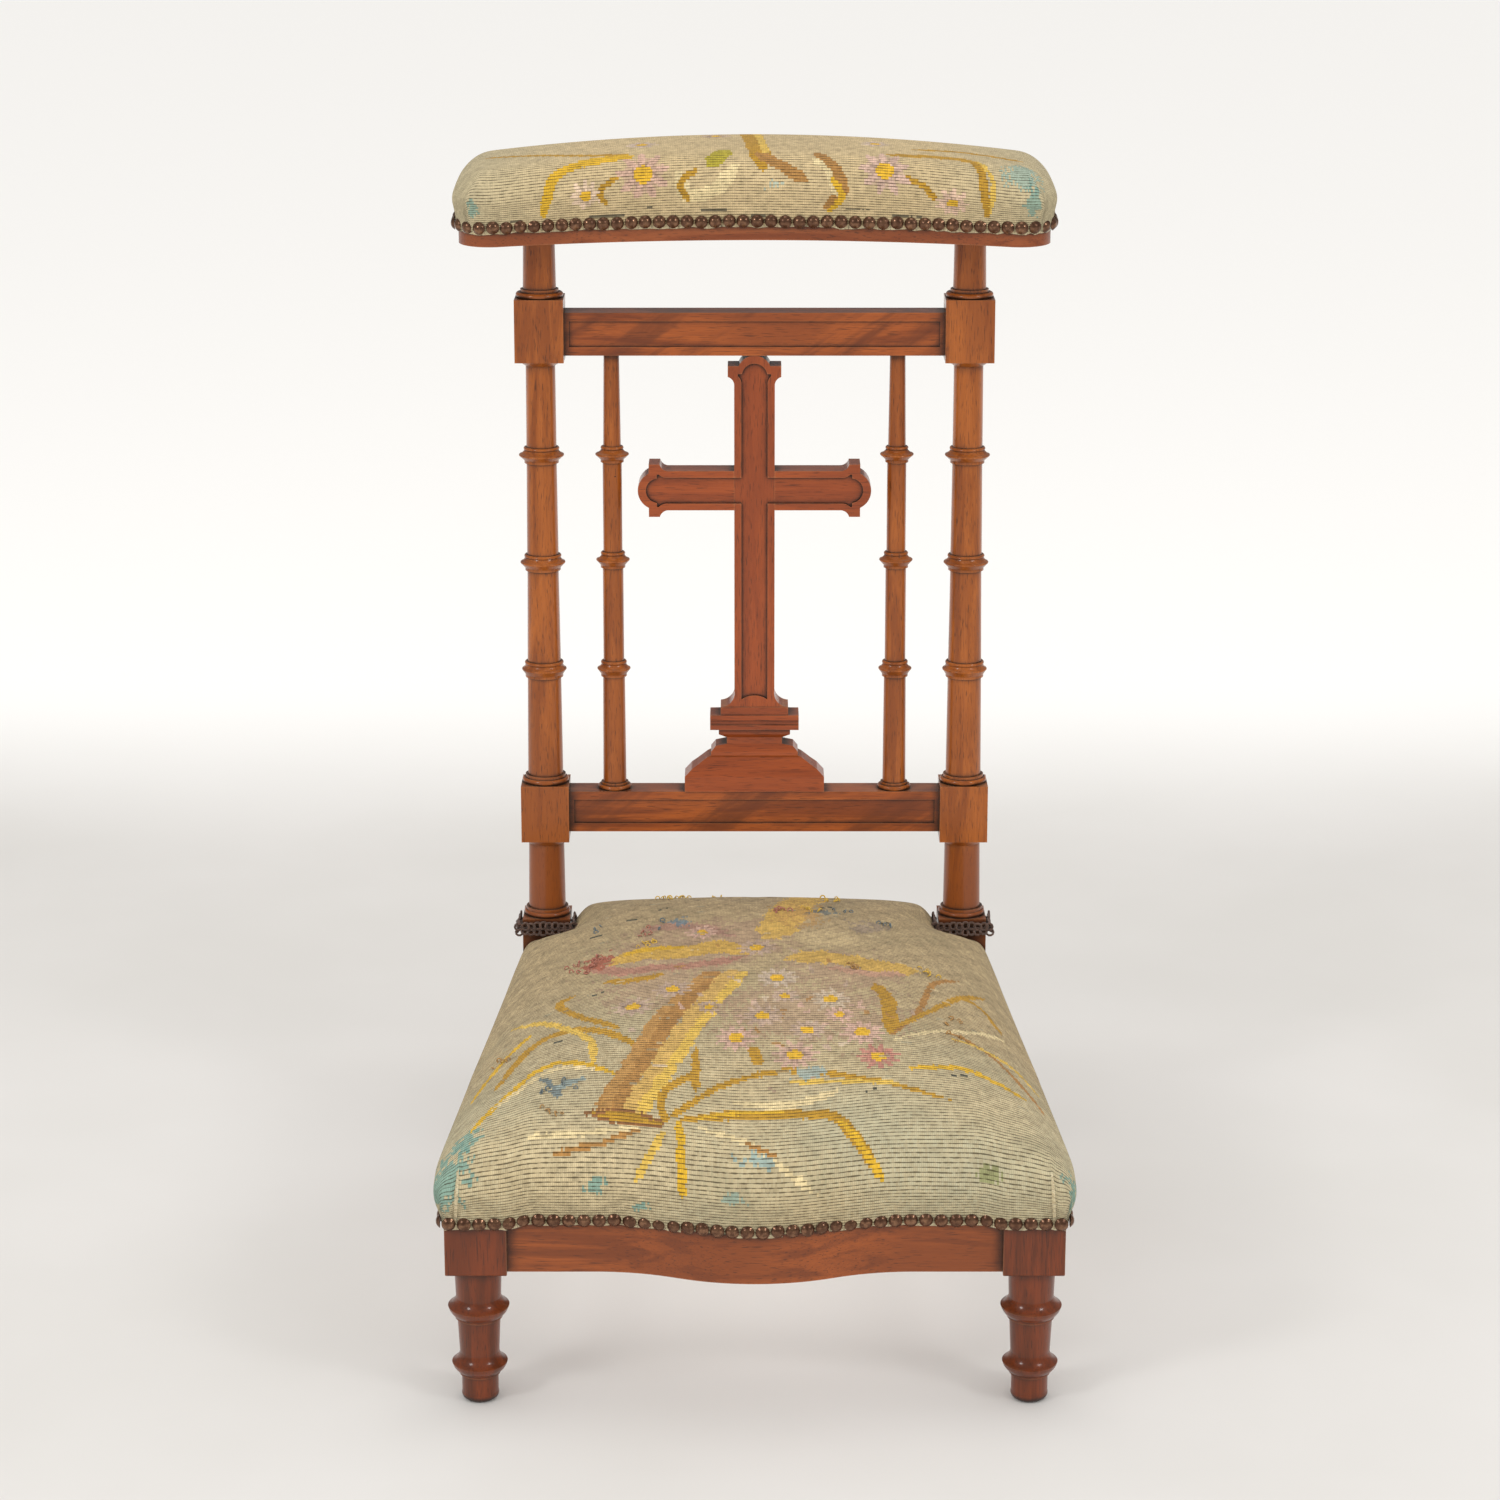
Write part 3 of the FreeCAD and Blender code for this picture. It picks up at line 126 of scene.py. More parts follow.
def shade_group(name, inputs, outputs):
    """An empty node group with named sockets. Returns its wiring, the values given and the sockets to feed."""
    tree = bpy.data.node_groups.new(name, "ShaderNodeTree")
    kinds = {"colour": "NodeSocketColor", "value": "NodeSocketFloat", "vector": "NodeSocketVector"}
    for socket, kind in inputs:
        tree.interface.new_socket(socket, in_out="INPUT", socket_type=kinds[kind])
    for socket, kind in outputs:
        tree.interface.new_socket(socket, in_out="OUTPUT", socket_type=kinds[kind])
    wiring = Wiring(tree)
    given = tree.nodes.new("NodeGroupInput")
    taken = tree.nodes.new("NodeGroupOutput")
    return wiring, given.outputs, taken.inputs


def colour(red, green, blue):
    """An opaque linear colour, as a node socket takes it."""
    return (red, green, blue, 1.0)


# %% [markdown]
# ## Walnut under an old French polish
# Walnut shows long brown streaks, fine dark pores along the grain and, where the light falls, a warm gloss.
# One group draws the figure: wide streaks, fibres and pores, all stretched along the grain.
# Each piece's material turns the pattern to that piece's own grain with a Mapping node.

# %% The walnut's figure
wires, given, taken = shade_group(
    "walnut_figure",
    [("Vector", "vector"), ("Pale", "colour"), ("Deep", "colour"), ("Streak", "value"), ("Cloud", "value")],
    [("Color", "colour"), ("Height", "value"), ("Roughness", "value")],
)
long_grain = wires.stretch(given["Vector"], (1.0, 1.0, 0.07))
streaks = wires.noise(long_grain, 95.0, detail=4.0, roughness=0.6, distortion=0.6)
clouds = wires.noise(wires.stretch(given["Vector"], (1.0, 1.0, 0.35)), 22.0, detail=3.0)
fibres = wires.noise(wires.stretch(given["Vector"], (1.0, 1.0, 0.03)), 900.0, detail=2.0)
pores = wires.noise(wires.stretch(given["Vector"], (1.0, 1.0, 0.05)), 1500.0, detail=1.0)
pore_mask = wires.ramp(pores, 0.60, 0.70)
streak_share = wires.math("MULTIPLY", wires.ramp(streaks, 0.40, 0.64), given["Streak"])
cloud_share = wires.math("MULTIPLY", wires.ramp(clouds, 0.42, 0.66), given["Cloud"])
share = wires.math("MAXIMUM", streak_share, cloud_share)
figured = wires.mix(share, given["Pale"], given["Deep"])
fibred = wires.mix(wires.ramp(fibres, 0.35, 0.65, 0.0, 0.22), figured, given["Deep"])
pored = wires.mix(wires.math("MULTIPLY", pore_mask, 0.55), fibred, colour(0.03, 0.012, 0.006))
wires.feed(taken["Color"], pored)
grain_height = wires.math("MULTIPLY_ADD", pore_mask, -0.7, wires.math("MULTIPLY", fibres, 0.3))
wires.feed(taken["Height"], grain_height)
wires.feed(taken["Roughness"], wires.ramp(clouds, 0.3, 0.7, 0.0, 0.10))
figure_group = wires.tree
print("figure group:", len(figure_group.nodes), "nodes")

# %% [markdown]
# ## Grime, wear and dust
# A hundred years of wax leave dark dirt in every recess, and hands wear the edges pale.
# Ambient occlusion finds both: seen from outside it is dark in a recess, and from inside it is dark at an edge.
# A noise breaks both masks up, because dirt is never even.

# %% Grime and wear
wires, given, taken = shade_group(
    "age_marks",
    [("Vector", "vector"), ("Reach", "value"), ("Grime", "value"), ("Wear", "value")],
    [("Grime", "value"), ("Wear", "value"), ("Dust", "value"), ("Holes", "value")],
)
recess = wires.add("AmbientOcclusion", samples=6)
wires.feed(recess.inputs["Distance"], given["Reach"])
edge = wires.add("AmbientOcclusion", samples=6, inside=True, only_local=True)
edge.inputs["Distance"].default_value = 2.2 * MM
patchy = wires.noise(given["Vector"], 55.0, detail=4.0, roughness=0.65)
broken = wires.math("MULTIPLY", patchy, 0.35)
dirty = wires.ramp(wires.math("ADD", recess.outputs["AO"], broken), 0.72, 1.12, 1.0, 0.0)
wires.feed(taken["Grime"], wires.math("MULTIPLY", dirty, given["Grime"], clamp=True))
worn = wires.ramp(wires.math("SUBTRACT", edge.outputs["AO"], broken), 0.18, 0.42, 1.0, 0.0)
wires.feed(taken["Wear"], wires.math("MULTIPLY", worn, given["Wear"], clamp=True))
facing = wires.add("NewGeometry")
split = wires.add("SeparateXYZ")
wires.feed(split.inputs[0], facing.outputs["Normal"])
upward = wires.ramp(split.outputs["Z"], 0.75, 0.98)
wires.feed(taken["Dust"], wires.math("MULTIPLY", upward, wires.ramp(patchy, 0.35, 0.7)))
cells = wires.add("TexVoronoi", feature="F1")
wires.feed(cells.inputs["Vector"], given["Vector"])
cells.inputs["Scale"].default_value = 34.0
near = wires.ramp(cells.outputs["Distance"], 0.014, 0.024, 1.0, 0.0)
few = wires.math("GREATER_THAN", wires.noise(given["Vector"], 9.0), 0.56)
wires.feed(taken["Holes"], wires.math("MULTIPLY", near, few))
age_group = wires.tree
print("age group:", len(age_group.nodes), "nodes")

# %% [markdown]
# ## A walnut finish for each run of grain
# The grain runs up a post and along a rail, so each finish takes the way its grain runs.
# The pattern's long axis is Z; a rotation of the coordinates lays it along X or Y.

# %% Walnut finishes
GRAIN_TURN = {"up": (0.0, 0.0, 0.0), "across": (0.0, math.pi / 2, 0.0), "deep": (math.pi / 2, 0.0, 0.0)}
GRIME = colour(0.020, 0.010, 0.006)
WORN = colour(0.52, 0.25, 0.10)


def place_group(wiring, tree, **values):
    """One use of a node group, with its own values."""
    used = wiring.add("Group")
    used.node_tree = tree
    for name, value in values.items():
        wiring.feed(used.inputs[name], value)
    return used.outputs


def new_material(name):
    """A material with an empty Principled BSDF. Returns the material, its wiring and the shader."""
    made = bpy.data.materials.new(name)
    made.use_nodes = True
    wiring = Wiring(made.node_tree)
    return made, wiring, made.node_tree.nodes["Principled BSDF"]


def walnut(name, grain, pale, deep, streak=0.8, wear=0.5, gloss=0.30, bands=0.0, low=None):
    """French-polished walnut. bands darkens the rails' diagonal figure, and low is a height below which the
    wood is darker."""
    made, wiring, shader = new_material(name)
    place = wiring.add("TexCoord").outputs["Object"]
    turned = wiring.add("Mapping")
    wiring.feed(turned.inputs["Vector"], place)
    turned.inputs["Rotation"].default_value = GRAIN_TURN[grain]
    along_grain = turned.outputs[0]
    figure = place_group(wiring, figure_group, Vector=along_grain, Pale=pale, Deep=deep, Streak=streak, Cloud=0.55)
    marks = place_group(wiring, age_group, Vector=place, Reach=9 * MM, Grime=1.0, Wear=wear)
    base = figure["Color"]
    if bands:
        sloped = wiring.add("Mapping")
        wiring.feed(sloped.inputs["Vector"], place)
        sloped.inputs["Rotation"].default_value = (0.0, -0.98, 0.0)
        drawn = wiring.stretch(sloped.outputs[0], (1.0, 0.4, 0.16))
        stripe = wiring.noise(drawn, 38.0, detail=4.0, roughness=0.6, distortion=0.5)
        base = wiring.mix(wiring.ramp(stripe, 0.47, 0.66, 0.0, bands), base, colour(0.13, 0.030, 0.008))
    if low:
        height = wiring.add("SeparateXYZ")
        wiring.feed(height.inputs[0], place)
        base = wiring.mix(wiring.ramp(height.outputs["Z"], low - 0.012, low, 0.62, 0.0), base, deep)
    base = wiring.mix(wiring.math("MULTIPLY", marks["Wear"], 0.55), base, WORN)
    base = wiring.mix(wiring.math("MULTIPLY", marks["Grime"], 0.88), base, GRIME)
    base = wiring.mix(wiring.math("MULTIPLY", marks["Dust"], 0.18), base, colour(0.42, 0.30, 0.20))
    base = wiring.mix(marks["Holes"], base, colour(0.012, 0.006, 0.004))
    wiring.feed(shader.inputs["Base Color"], base)
    rough = wiring.math("ADD", figure["Roughness"], gloss)
    rough = wiring.math("MULTIPLY_ADD", marks["Grime"], 0.25, rough)
    rough = wiring.math("MULTIPLY_ADD", marks["Dust"], 0.18, rough)
    wiring.feed(shader.inputs["Roughness"], rough)
    bump = wiring.add("Bump")
    bump.inputs["Distance"].default_value = 0.12 * MM
    bump.inputs["Strength"].default_value = 0.5
    depth = wiring.math("MULTIPLY_ADD", marks["Holes"], -4.0, figure["Height"])
    wiring.feed(bump.inputs["Height"], depth)
    wiring.feed(shader.inputs["Normal"], bump.outputs[0])
    shader.inputs["Specular IOR Level"].default_value = 0.25
    shader.inputs["Coat Weight"].default_value = 0.45
    shader.inputs["Coat Roughness"].default_value = 0.12
    return made


POST_PALE, POST_DEEP = colour(0.405, 0.112, 0.016), colour(0.20, 0.046, 0.007)
RAIL_PALE, RAIL_DEEP = colour(0.385, 0.090, 0.013), colour(0.18, 0.037, 0.007)
CROSS_PALE, CROSS_DEEP = colour(0.34, 0.068, 0.012), colour(0.185, 0.034, 0.008)
FRAME_PALE, FRAME_DEEP = colour(0.335, 0.080, 0.014), colour(0.15, 0.034, 0.008)
LEG_PALE, LEG_DEEP = colour(0.195, 0.038, 0.008), colour(0.085, 0.019, 0.005)

finishes = {
    "posts": walnut("walnut_posts", "up", POST_PALE, POST_DEEP, streak=0.75, gloss=0.26, low=0.282),
    "rails": walnut("walnut_rails", "across", RAIL_PALE, RAIL_DEEP, streak=0.9, bands=0.75),
    "board": walnut("walnut_board", "across", colour(0.32, 0.085, 0.022), RAIL_DEEP, wear=0.9, gloss=0.38),
    "cross_up": walnut("walnut_cross_up", "up", CROSS_PALE, CROSS_DEEP, streak=0.5, gloss=0.34),
    "cross_over": walnut("walnut_cross_over", "across", CROSS_PALE, CROSS_DEEP, streak=0.6, gloss=0.34),
    "legs": walnut("walnut_legs", "up", LEG_PALE, LEG_DEEP, wear=0.7, gloss=0.30),
    "front_rail": walnut("walnut_front_rail", "across", FRAME_PALE, FRAME_DEEP, wear=0.9, gloss=0.40),
    "side_rail": walnut("walnut_side_rail", "deep", FRAME_PALE, FRAME_DEEP, wear=0.5, gloss=0.45),
}
WEARS = {
    "posts": ["rear_post_left", "rear_post_right", "spindle_left", "spindle_right"],
    "rails": ["upper_back_rail", "lower_back_rail"],
    "board": ["elbow_board"],
    "cross_up": ["cross_upright"],
    "cross_over": ["cross_arm", "cross_pedestal"],
    "legs": ["front_leg_left", "front_leg_right"],
    "front_rail": ["front_seat_rail", "rear_seat_rail"],
    "side_rail": ["side_seat_rail_left", "side_seat_rail_right"],
}


def finish_node(name, material):
    """Gives a CAD node its material."""
    piece = nodes[name]
    if not piece.material_slots:
        piece.data.materials.append(material)
    for place in piece.material_slots:
        place.material = material


for finish, names in WEARS.items():
    for name in names:
        finish_node(name, finishes[finish])
print("walnut on", sum(len(names) for names in WEARS.values()), "nodes")

# %% [markdown]
# ## What is under the seat
# Jute straps cross over the rails, hessian lies on them and the stuffing on that.
# Woven stuff is drawn by one group: two sets of threads that pass over and under each other.

# %% Weave
wires, given, taken = shade_group(
    "plain_weave",
    [("Vector", "vector"), ("Thread", "value"), ("Gap", "value")],
    [("Height", "value"), ("Gap", "value"), ("Tone", "value")],
)
turns = wires.add("SeparateXYZ")
wobble = wires.noise(given["Vector"], 60.0)
scaled = wires.add("VectorMath", operation="SCALE")
wires.feed(scaled.inputs[0], given["Vector"])
wires.feed(scaled.inputs["Scale"], wires.math("DIVIDE", math.pi, given["Thread"]))
wires.feed(turns.inputs[0], scaled.outputs[0])
across = wires.math("ADD", turns.outputs["X"], wires.math("MULTIPLY", wobble, 3.0))
along = wires.math("ADD", turns.outputs["Y"], wires.math("MULTIPLY", wobble, 3.0))
warp = wires.math("ABSOLUTE", wires.math("SINE", across))
weft = wires.math("ABSOLUTE", wires.math("SINE", along))
check = wires.add("TexChecker")
checked = wires.add("VectorMath", operation="SCALE")
wires.feed(checked.inputs[0], given["Vector"])
wires.feed(checked.inputs["Scale"], wires.math("DIVIDE", 1.0, given["Thread"]))
wires.feed(check.inputs["Vector"], checked.outputs[0])
check.inputs["Scale"].default_value = 1.0
over = wires.add("Mix", data_type="FLOAT")
wires.feed(over.inputs["Factor"], check.outputs["Fac"])
wires.feed(over.inputs[2], warp)
wires.feed(over.inputs[3], weft)
wires.feed(taken["Height"], over.outputs[0])
low = wires.math("MINIMUM", warp, weft)
wires.feed(taken["Gap"], wires.ramp(low, 0.0, given["Gap"], 1.0, 0.0))
wires.feed(taken["Tone"], wires.noise(wires.stretch(given["Vector"], (1.0, 0.08, 1.0)), 700.0, detail=2.0))
weave_group = wires.tree
print("weave group:", len(weave_group.nodes), "nodes")


# %% Cloth and hidden stuff
def woven(name, pale, deep, thread, gap=0.35, rough=0.9):
    """Plain-woven cloth in object coordinates. thread is the width of one thread."""
    made, wiring, shader = new_material(name)
    place = wiring.add("TexCoord").outputs["Object"]
    cloth = place_group(wiring, weave_group, Vector=place, Thread=thread, Gap=gap)
    base = wiring.mix(wiring.ramp(cloth["Tone"], 0.3, 0.7), deep, pale)
    blotch = wiring.noise(place, 18.0, detail=3.0)
    base = wiring.mix(wiring.ramp(blotch, 0.45, 0.75, 0.0, 0.45), base, deep)
    base = wiring.mix(wiring.math("MULTIPLY", cloth["Gap"], 0.75), base, colour(0.05, 0.035, 0.02))
    wiring.feed(shader.inputs["Base Color"], base)
    shader.inputs["Roughness"].default_value = rough
    shader.inputs["Sheen Weight"].default_value = 0.25
    bump = wiring.add("Bump")
    bump.inputs["Distance"].default_value = thread * 0.4
    wiring.feed(bump.inputs["Height"], cloth["Height"])
    wiring.feed(shader.inputs["Normal"], bump.outputs[0])
    return made


def plain_wood(name, pale, deep):
    """Raw beech or a dowel: the walnut's figure in pale colours, without polish."""
    made, wiring, shader = new_material(name)
    place = wiring.add("TexCoord").outputs["Object"]
    figure = place_group(wiring, figure_group, Vector=place, Pale=pale, Deep=deep, Streak=0.6, Cloud=0.4)
    wiring.feed(shader.inputs["Base Color"], figure["Color"])
    shader.inputs["Roughness"].default_value = 0.75
    bump = wiring.add("Bump")
    bump.inputs["Distance"].default_value = 0.1 * MM
    wiring.feed(bump.inputs["Height"], figure["Height"])
    wiring.feed(shader.inputs["Normal"], bump.outputs[0])
    return made


def old_metal(name, bright, dark, metallic=0.85, rough=0.36, reach=3 * MM):
    """Aged metal: dark in the recesses and round the rims, brighter where it is rubbed."""
    made, wiring, shader = new_material(name)
    place = wiring.add("TexCoord").outputs["Object"]
    marks = place_group(wiring, age_group, Vector=place, Reach=reach, Grime=1.0, Wear=1.0)
    tone = wiring.noise(place, 320.0, detail=3.0)
    base = wiring.mix(wiring.ramp(tone, 0.35, 0.7), dark, bright)
    each = wiring.noise(place, 60.0)
    base = wiring.mix(wiring.ramp(each, 0.42, 0.62, 0.0, 0.45), base, dark)
    base = wiring.mix(wiring.math("MULTIPLY", marks["Grime"], 0.7), base, colour(0.02, 0.012, 0.008))
    wiring.feed(shader.inputs["Base Color"], base)
    shader.inputs["Metallic"].default_value = metallic
    wiring.feed(shader.inputs["Roughness"], wiring.ramp(tone, 0.3, 0.7, rough + 0.08, rough - 0.06))
    return made


calico = woven("calico_cream", colour(0.80, 0.70, 0.46), colour(0.58, 0.46, 0.26), 0.7 * MM, gap=0.25)
jute = woven("jute_strap", colour(0.46, 0.32, 0.17), colour(0.28, 0.18, 0.09), 2.2 * MM)
sacking = woven("hessian_open", colour(0.50, 0.38, 0.22), colour(0.33, 0.23, 0.12), 1.5 * MM, gap=0.5)
hair = woven("horsehair_fill", colour(0.13, 0.09, 0.06), colour(0.05, 0.035, 0.025), 0.9 * MM)
beech = plain_wood("beech_raw", colour(0.50, 0.34, 0.19), colour(0.38, 0.24, 0.12))
steel = old_metal("steel_old", colour(0.34, 0.32, 0.30), colour(0.16, 0.13, 0.11))
blued = old_metal("tack_blued", colour(0.09, 0.10, 0.13), colour(0.03, 0.03, 0.04))
for names, material in (
    (["webbing_long", "webbing_cross"], jute),
    (["corner_block_" + end + "_" + side for end in ("front", "rear") for side in ("left", "right")], beech),
    (["cross_dowels"], beech),
    (["corner_block_screws"], steel),
    (["webbing_tacks"], blued),
    (["seat_hessian"], sacking),
):
    for name in names:
        finish_node(name, material)
print("hidden pieces finished")

# %% [markdown]
# ## The shape of a cushion
# A needlepoint cover is one rectangle of cloth. It lies over the crown, rolls over the edges and goes down
# the sides to the nails. So the mesh starts as a grid, cut to the cloth's own outline, whose border is
# extruded down for the sides. A UV map keeps each place's position in the cloth, in metres, and the
# stitches follow it wherever the surface goes.


# %% Cloth grid
def cloth_grid(across, along, cell, hang, notch=None):
    """A flat grid with sides that hang from it. across and along are (low, high) in cloth metres, hang is
    (length, rows), and a notch (x, y) is cut from both rear corners."""
    mesh = bmesh.new()
    columns, rows = round((across[1] - across[0]) / cell[0]), round((along[1] - along[0]) / cell[1])
    bmesh.ops.create_grid(mesh, x_segments=columns, y_segments=rows, size=0.5)
    for vert in mesh.verts:
        vert.co.x = across[0] + (vert.co.x + 0.5) * (across[1] - across[0])
        vert.co.y = along[0] + (vert.co.y + 0.5) * (along[1] - along[0])
        if notch and abs(abs(vert.co.x) - notch[0]) < cell[0] / 2:
            vert.co.x = math.copysign(notch[0], vert.co.x)
        if notch and abs(vert.co.y - notch[1]) < cell[1] / 2:
            vert.co.y = notch[1]
    if notch:
        middles = [(face, face.calc_center_median()) for face in mesh.faces]
        spare = [face for face, at in middles if abs(at.x) > notch[0] and at.y > notch[1]]
        bmesh.ops.delete(mesh, geom=spare, context="FACES")
    cloth = mesh.loops.layers.uv.new("cloth")
    for face in mesh.faces:
        for loop in face.loops:
            loop[cloth].uv = loop.vert.co.xy
    length, steps = hang
    for step in range(steps):
        rim = [one for one in mesh.edges if one.is_boundary]
        before = set(mesh.faces)
        grown = bmesh.ops.extrude_edge_only(mesh, edges=rim)
        moved = [item for item in grown["geom"] if isinstance(item, bmesh.types.BMVert)]
        bmesh.ops.translate(mesh, verts=moved, vec=(0, 0, -length / steps))
        for face in set(mesh.faces) - before:
            face.normal_update()
            out = face.normal.xy.normalized()
            if not inside(face.calc_center_median().xy - out * MM, across, along, notch):
                out = -out
            for loop in face.loops:
                loop[cloth].uv = loop.vert.co.xy - out * loop.vert.co.z
    bmesh.ops.recalc_face_normals(mesh, faces=mesh.faces)
    return mesh


def inside(place, across, along, notch):
    """Whether a place lies in the cloth's flat outline."""
    cut = notch and abs(place.x) > notch[0] and place.y > notch[1]
    return across[0] < place.x < across[1] and along[0] < place.y < along[1] and not cut


def rolled(distance, edge, radius):
    """How far out and how far down a point is whose cloth distance is measured past a rolled edge."""
    over = max(0.0, min(distance - (edge - radius), radius * math.pi / 2)) / radius
    out = min(distance, edge - radius) + radius * math.sin(over)
    return out, radius * (1 - math.cos(over))


print("cloth helpers ready")

# %% [markdown]
# ## The seat cushion
# The seat is 230 mm to each side in front and narrows to the posts, with a front edge that bows forward.
# Its crown rises to the middle and falls off to the sides. The cloth is cut round both posts.

# %% Seat sizes
SEAT_HALF = cover_high.x
SEAT_FRONT = leg_line - 23.8 * MM
SEAT_BACK = cover_high.y
POST_FRONT = 153.75 * MM
CROWN = cover_high.z
NAIL_EDGE = cover_low.z + 2.5 * MM
ROLL, BACK_ROLL = 24 * MM, 20 * MM
TAPER = 0.158
SWEEP, SETBACK = 21 * MM, 7 * MM
SEAT_DROP = 38 * MM
STITCH = 1.4 * MM
ROW = 3.0 * MM
print("seat:", round(SEAT_HALF, 4), round(SEAT_FRONT, 4), round(SEAT_BACK, 4))


# %% Seat shape
def eased(low, high, value):
    """0 below low, 1 above high, smooth between."""
    share = max(0.0, min(1.0, (value - low) / (high - low)))
    return share * share * (3 - 2 * share)


def bow(x):
    """How far the front stands forward at x: swept in the middle, and a step forward at the blocks."""
    swept = SWEEP * (0.5 + 0.5 * math.cos(math.pi * min(1.0, abs(x) / (112 * MM))))
    return swept - SETBACK * (1 - eased(160 * MM, 176 * MM, abs(x)))


def taper(y):
    """The seat's width at y, as a share of its width in front."""
    return 1 - TAPER * max(0.0, min(1.0, (y - leg_line - 22 * MM) / (POST_FRONT - leg_line - 22 * MM)))


def crown_fall(x, y):
    """How far the top lies below the crown: it falls to the sides, to the front and a little to the back."""
    sideways = 40.5 * MM * (abs(x) / (200 * MM)) ** 2.37
    ahead, behind = max(0.0, 40 * MM - y), max(0.0, y - 40 * MM)
    lengthwise = 43 * MM * (ahead / (300 * MM)) ** 2.48 + 4 * MM * (behind / (90 * MM)) ** 3
    return (sideways**4 + lengthwise**4) ** 0.25


def drawn_round(x, y, half_x, half_y, radius):
    """Draws the square corner of a rectangle into a quarter circle."""
    dx, dy = abs(x) - (half_x - radius), abs(y) - (half_y - radius)
    if dx <= 0 or dy <= 0:
        return x, y
    scale = max(dx, dy) / math.hypot(dx, dy)
    return math.copysign(half_x - radius + dx * scale, x), math.copysign(half_y - radius + dy * scale, y)


def seat_point(x, y, z):
    """Moves a point of the flat cloth, with its sides hanging, to its place on the cushion."""
    side, side_drop = rolled(abs(x), SEAT_HALF, ROLL)
    front, front_drop = rolled(-y, -SEAT_FRONT, ROLL)
    back, back_drop = rolled(y, SEAT_BACK, BACK_ROLL)
    place_y = -front if y < 0 else back
    corner = (3 + 12 * (1 - min(1.0, -z / SEAT_DROP))) * MM
    if y < 0:
        side, place_y = drawn_round(side, place_y, SEAT_HALF, -SEAT_FRONT, corner)
    place_x = math.copysign(side, x) * taper(place_y)
    drop = (side_drop**3 + front_drop**3 + back_drop**3) ** (1 / 3)
    height = CROWN - crown_fall(place_x, place_y) - drop
    by_post = eased(POST_FRONT - 34 * MM, POST_FRONT - 2 * MM, y) * eased(134 * MM, 152 * MM, abs(place_x))
    height -= max(0.0, height - 205 * MM) * by_post
    height += (NAIL_EDGE - height) * min(1.0, -z / SEAT_DROP)
    place_y -= bow(x) * eased(0.12, 0.24, -place_y)
    swell = math.exp(-(((height - 168 * MM) / (17 * MM)) ** 2)) * min(1.0, (height - NAIL_EDGE) / (12 * MM))
    place_x += math.copysign(7.5 * MM * swell * min(1.0, side_drop / (8 * MM)), x)
    place_y -= 4.0 * MM * swell * min(1.0, front_drop / (8 * MM))
    return Vector((place_x, place_y, height))


roll_spare = ROLL * (math.pi / 2 - 1)
half_cloth = SEAT_HALF + roll_spare
notch_cloth = 148.5 * MM / (1 - TAPER)
seat_mesh = cloth_grid(
    (-half_cloth, half_cloth),
    (SEAT_FRONT - roll_spare, SEAT_BACK + BACK_ROLL * (math.pi / 2 - 1)),
    (4 * STITCH, 2 * ROW),
    (SEAT_DROP, 7),
    notch=(notch_cloth, POST_FRONT),
)
for vert in seat_mesh.verts:
    vert.co = seat_point(*vert.co)
for _ in range(2):
    inner = [vert for vert in seat_mesh.verts if not vert.is_boundary]
    bmesh.ops.smooth_vert(seat_mesh, verts=inner, factor=0.5, use_axis_x=True, use_axis_y=True, use_axis_z=True)
print("seat cloth:", len(seat_mesh.faces), "cells")

# %% [markdown]
# ## Stuffing it
# Tow or horsehair presses the cloth outwards, and the nails hold its edge. Blender's cloth with a little
# pressure gives just that. It runs on the coarse cells, its result is kept, and each point's travel is capped.


# %% Stuffing by simulation
def stuffed(name, mesh, pressure, travel, frames=16):
    """Runs a short cloth simulation with the lower edge pinned, and returns an object with the result."""
    data = bpy.data.meshes.new(name)
    mesh.to_mesh(data)
    piece = bpy.data.objects.new(name, data)
    bpy.context.scene.collection.objects.link(piece)
    start = [vert.co.copy() for vert in data.vertices]
    pins = piece.vertex_groups.new(name="nailed")
    held = [vert.index for vert in mesh.verts if vert.is_boundary]
    pins.add(held, 1.0, "REPLACE")
    cloth = piece.modifiers.new("stuffing", "CLOTH")
    cloth.settings.quality = 5
    cloth.settings.mass = 0.3
    cloth.settings.tension_stiffness = 40
    cloth.settings.compression_stiffness = 40
    cloth.settings.shear_stiffness = 20
    cloth.settings.bending_stiffness = 3
    cloth.settings.vertex_group_mass = "nailed"
    cloth.settings.use_pressure = True
    cloth.settings.uniform_pressure_force = pressure
    cloth.settings.effector_weights.gravity = 0.0
    cloth.collision_settings.use_collision = False
    cloth.point_cache.frame_start = 1
    cloth.point_cache.frame_end = frames
    for step in range(1, frames + 1):
        bpy.context.scene.frame_set(step)
    shaped = piece.evaluated_get(bpy.context.evaluated_depsgraph_get())
    ends = [vert.co.copy() for vert in shaped.data.vertices]
    piece.modifiers.remove(cloth)
    piece.vertex_groups.remove(pins)
    bpy.context.scene.frame_set(1)
    furthest = 0.0
    for vert, first, last in zip(data.vertices, start, ends):
        step = last - first
        furthest = max(furthest, step.length)
        if step.length > travel:
            step *= travel / step.length
        vert.co = first + step
    print(name, "moved up to", round(furthest * 1000, 1), "mm")
    return piece


def finer(piece, levels=2):
    """The same piece with its cells divided, as one plain mesh."""
    divide = piece.modifiers.new("stitches", "SUBSURF")
    divide.levels = divide.render_levels = levels
    shaped = piece.evaluated_get(bpy.context.evaluated_depsgraph_get())
    data = bpy.data.meshes.new_from_object(shaped)
    piece.modifiers.remove(divide)
    piece.data = data
    return piece


seat_piece = stuffed("seat_needlepoint", seat_mesh, pressure=1.5, travel=4 * MM)

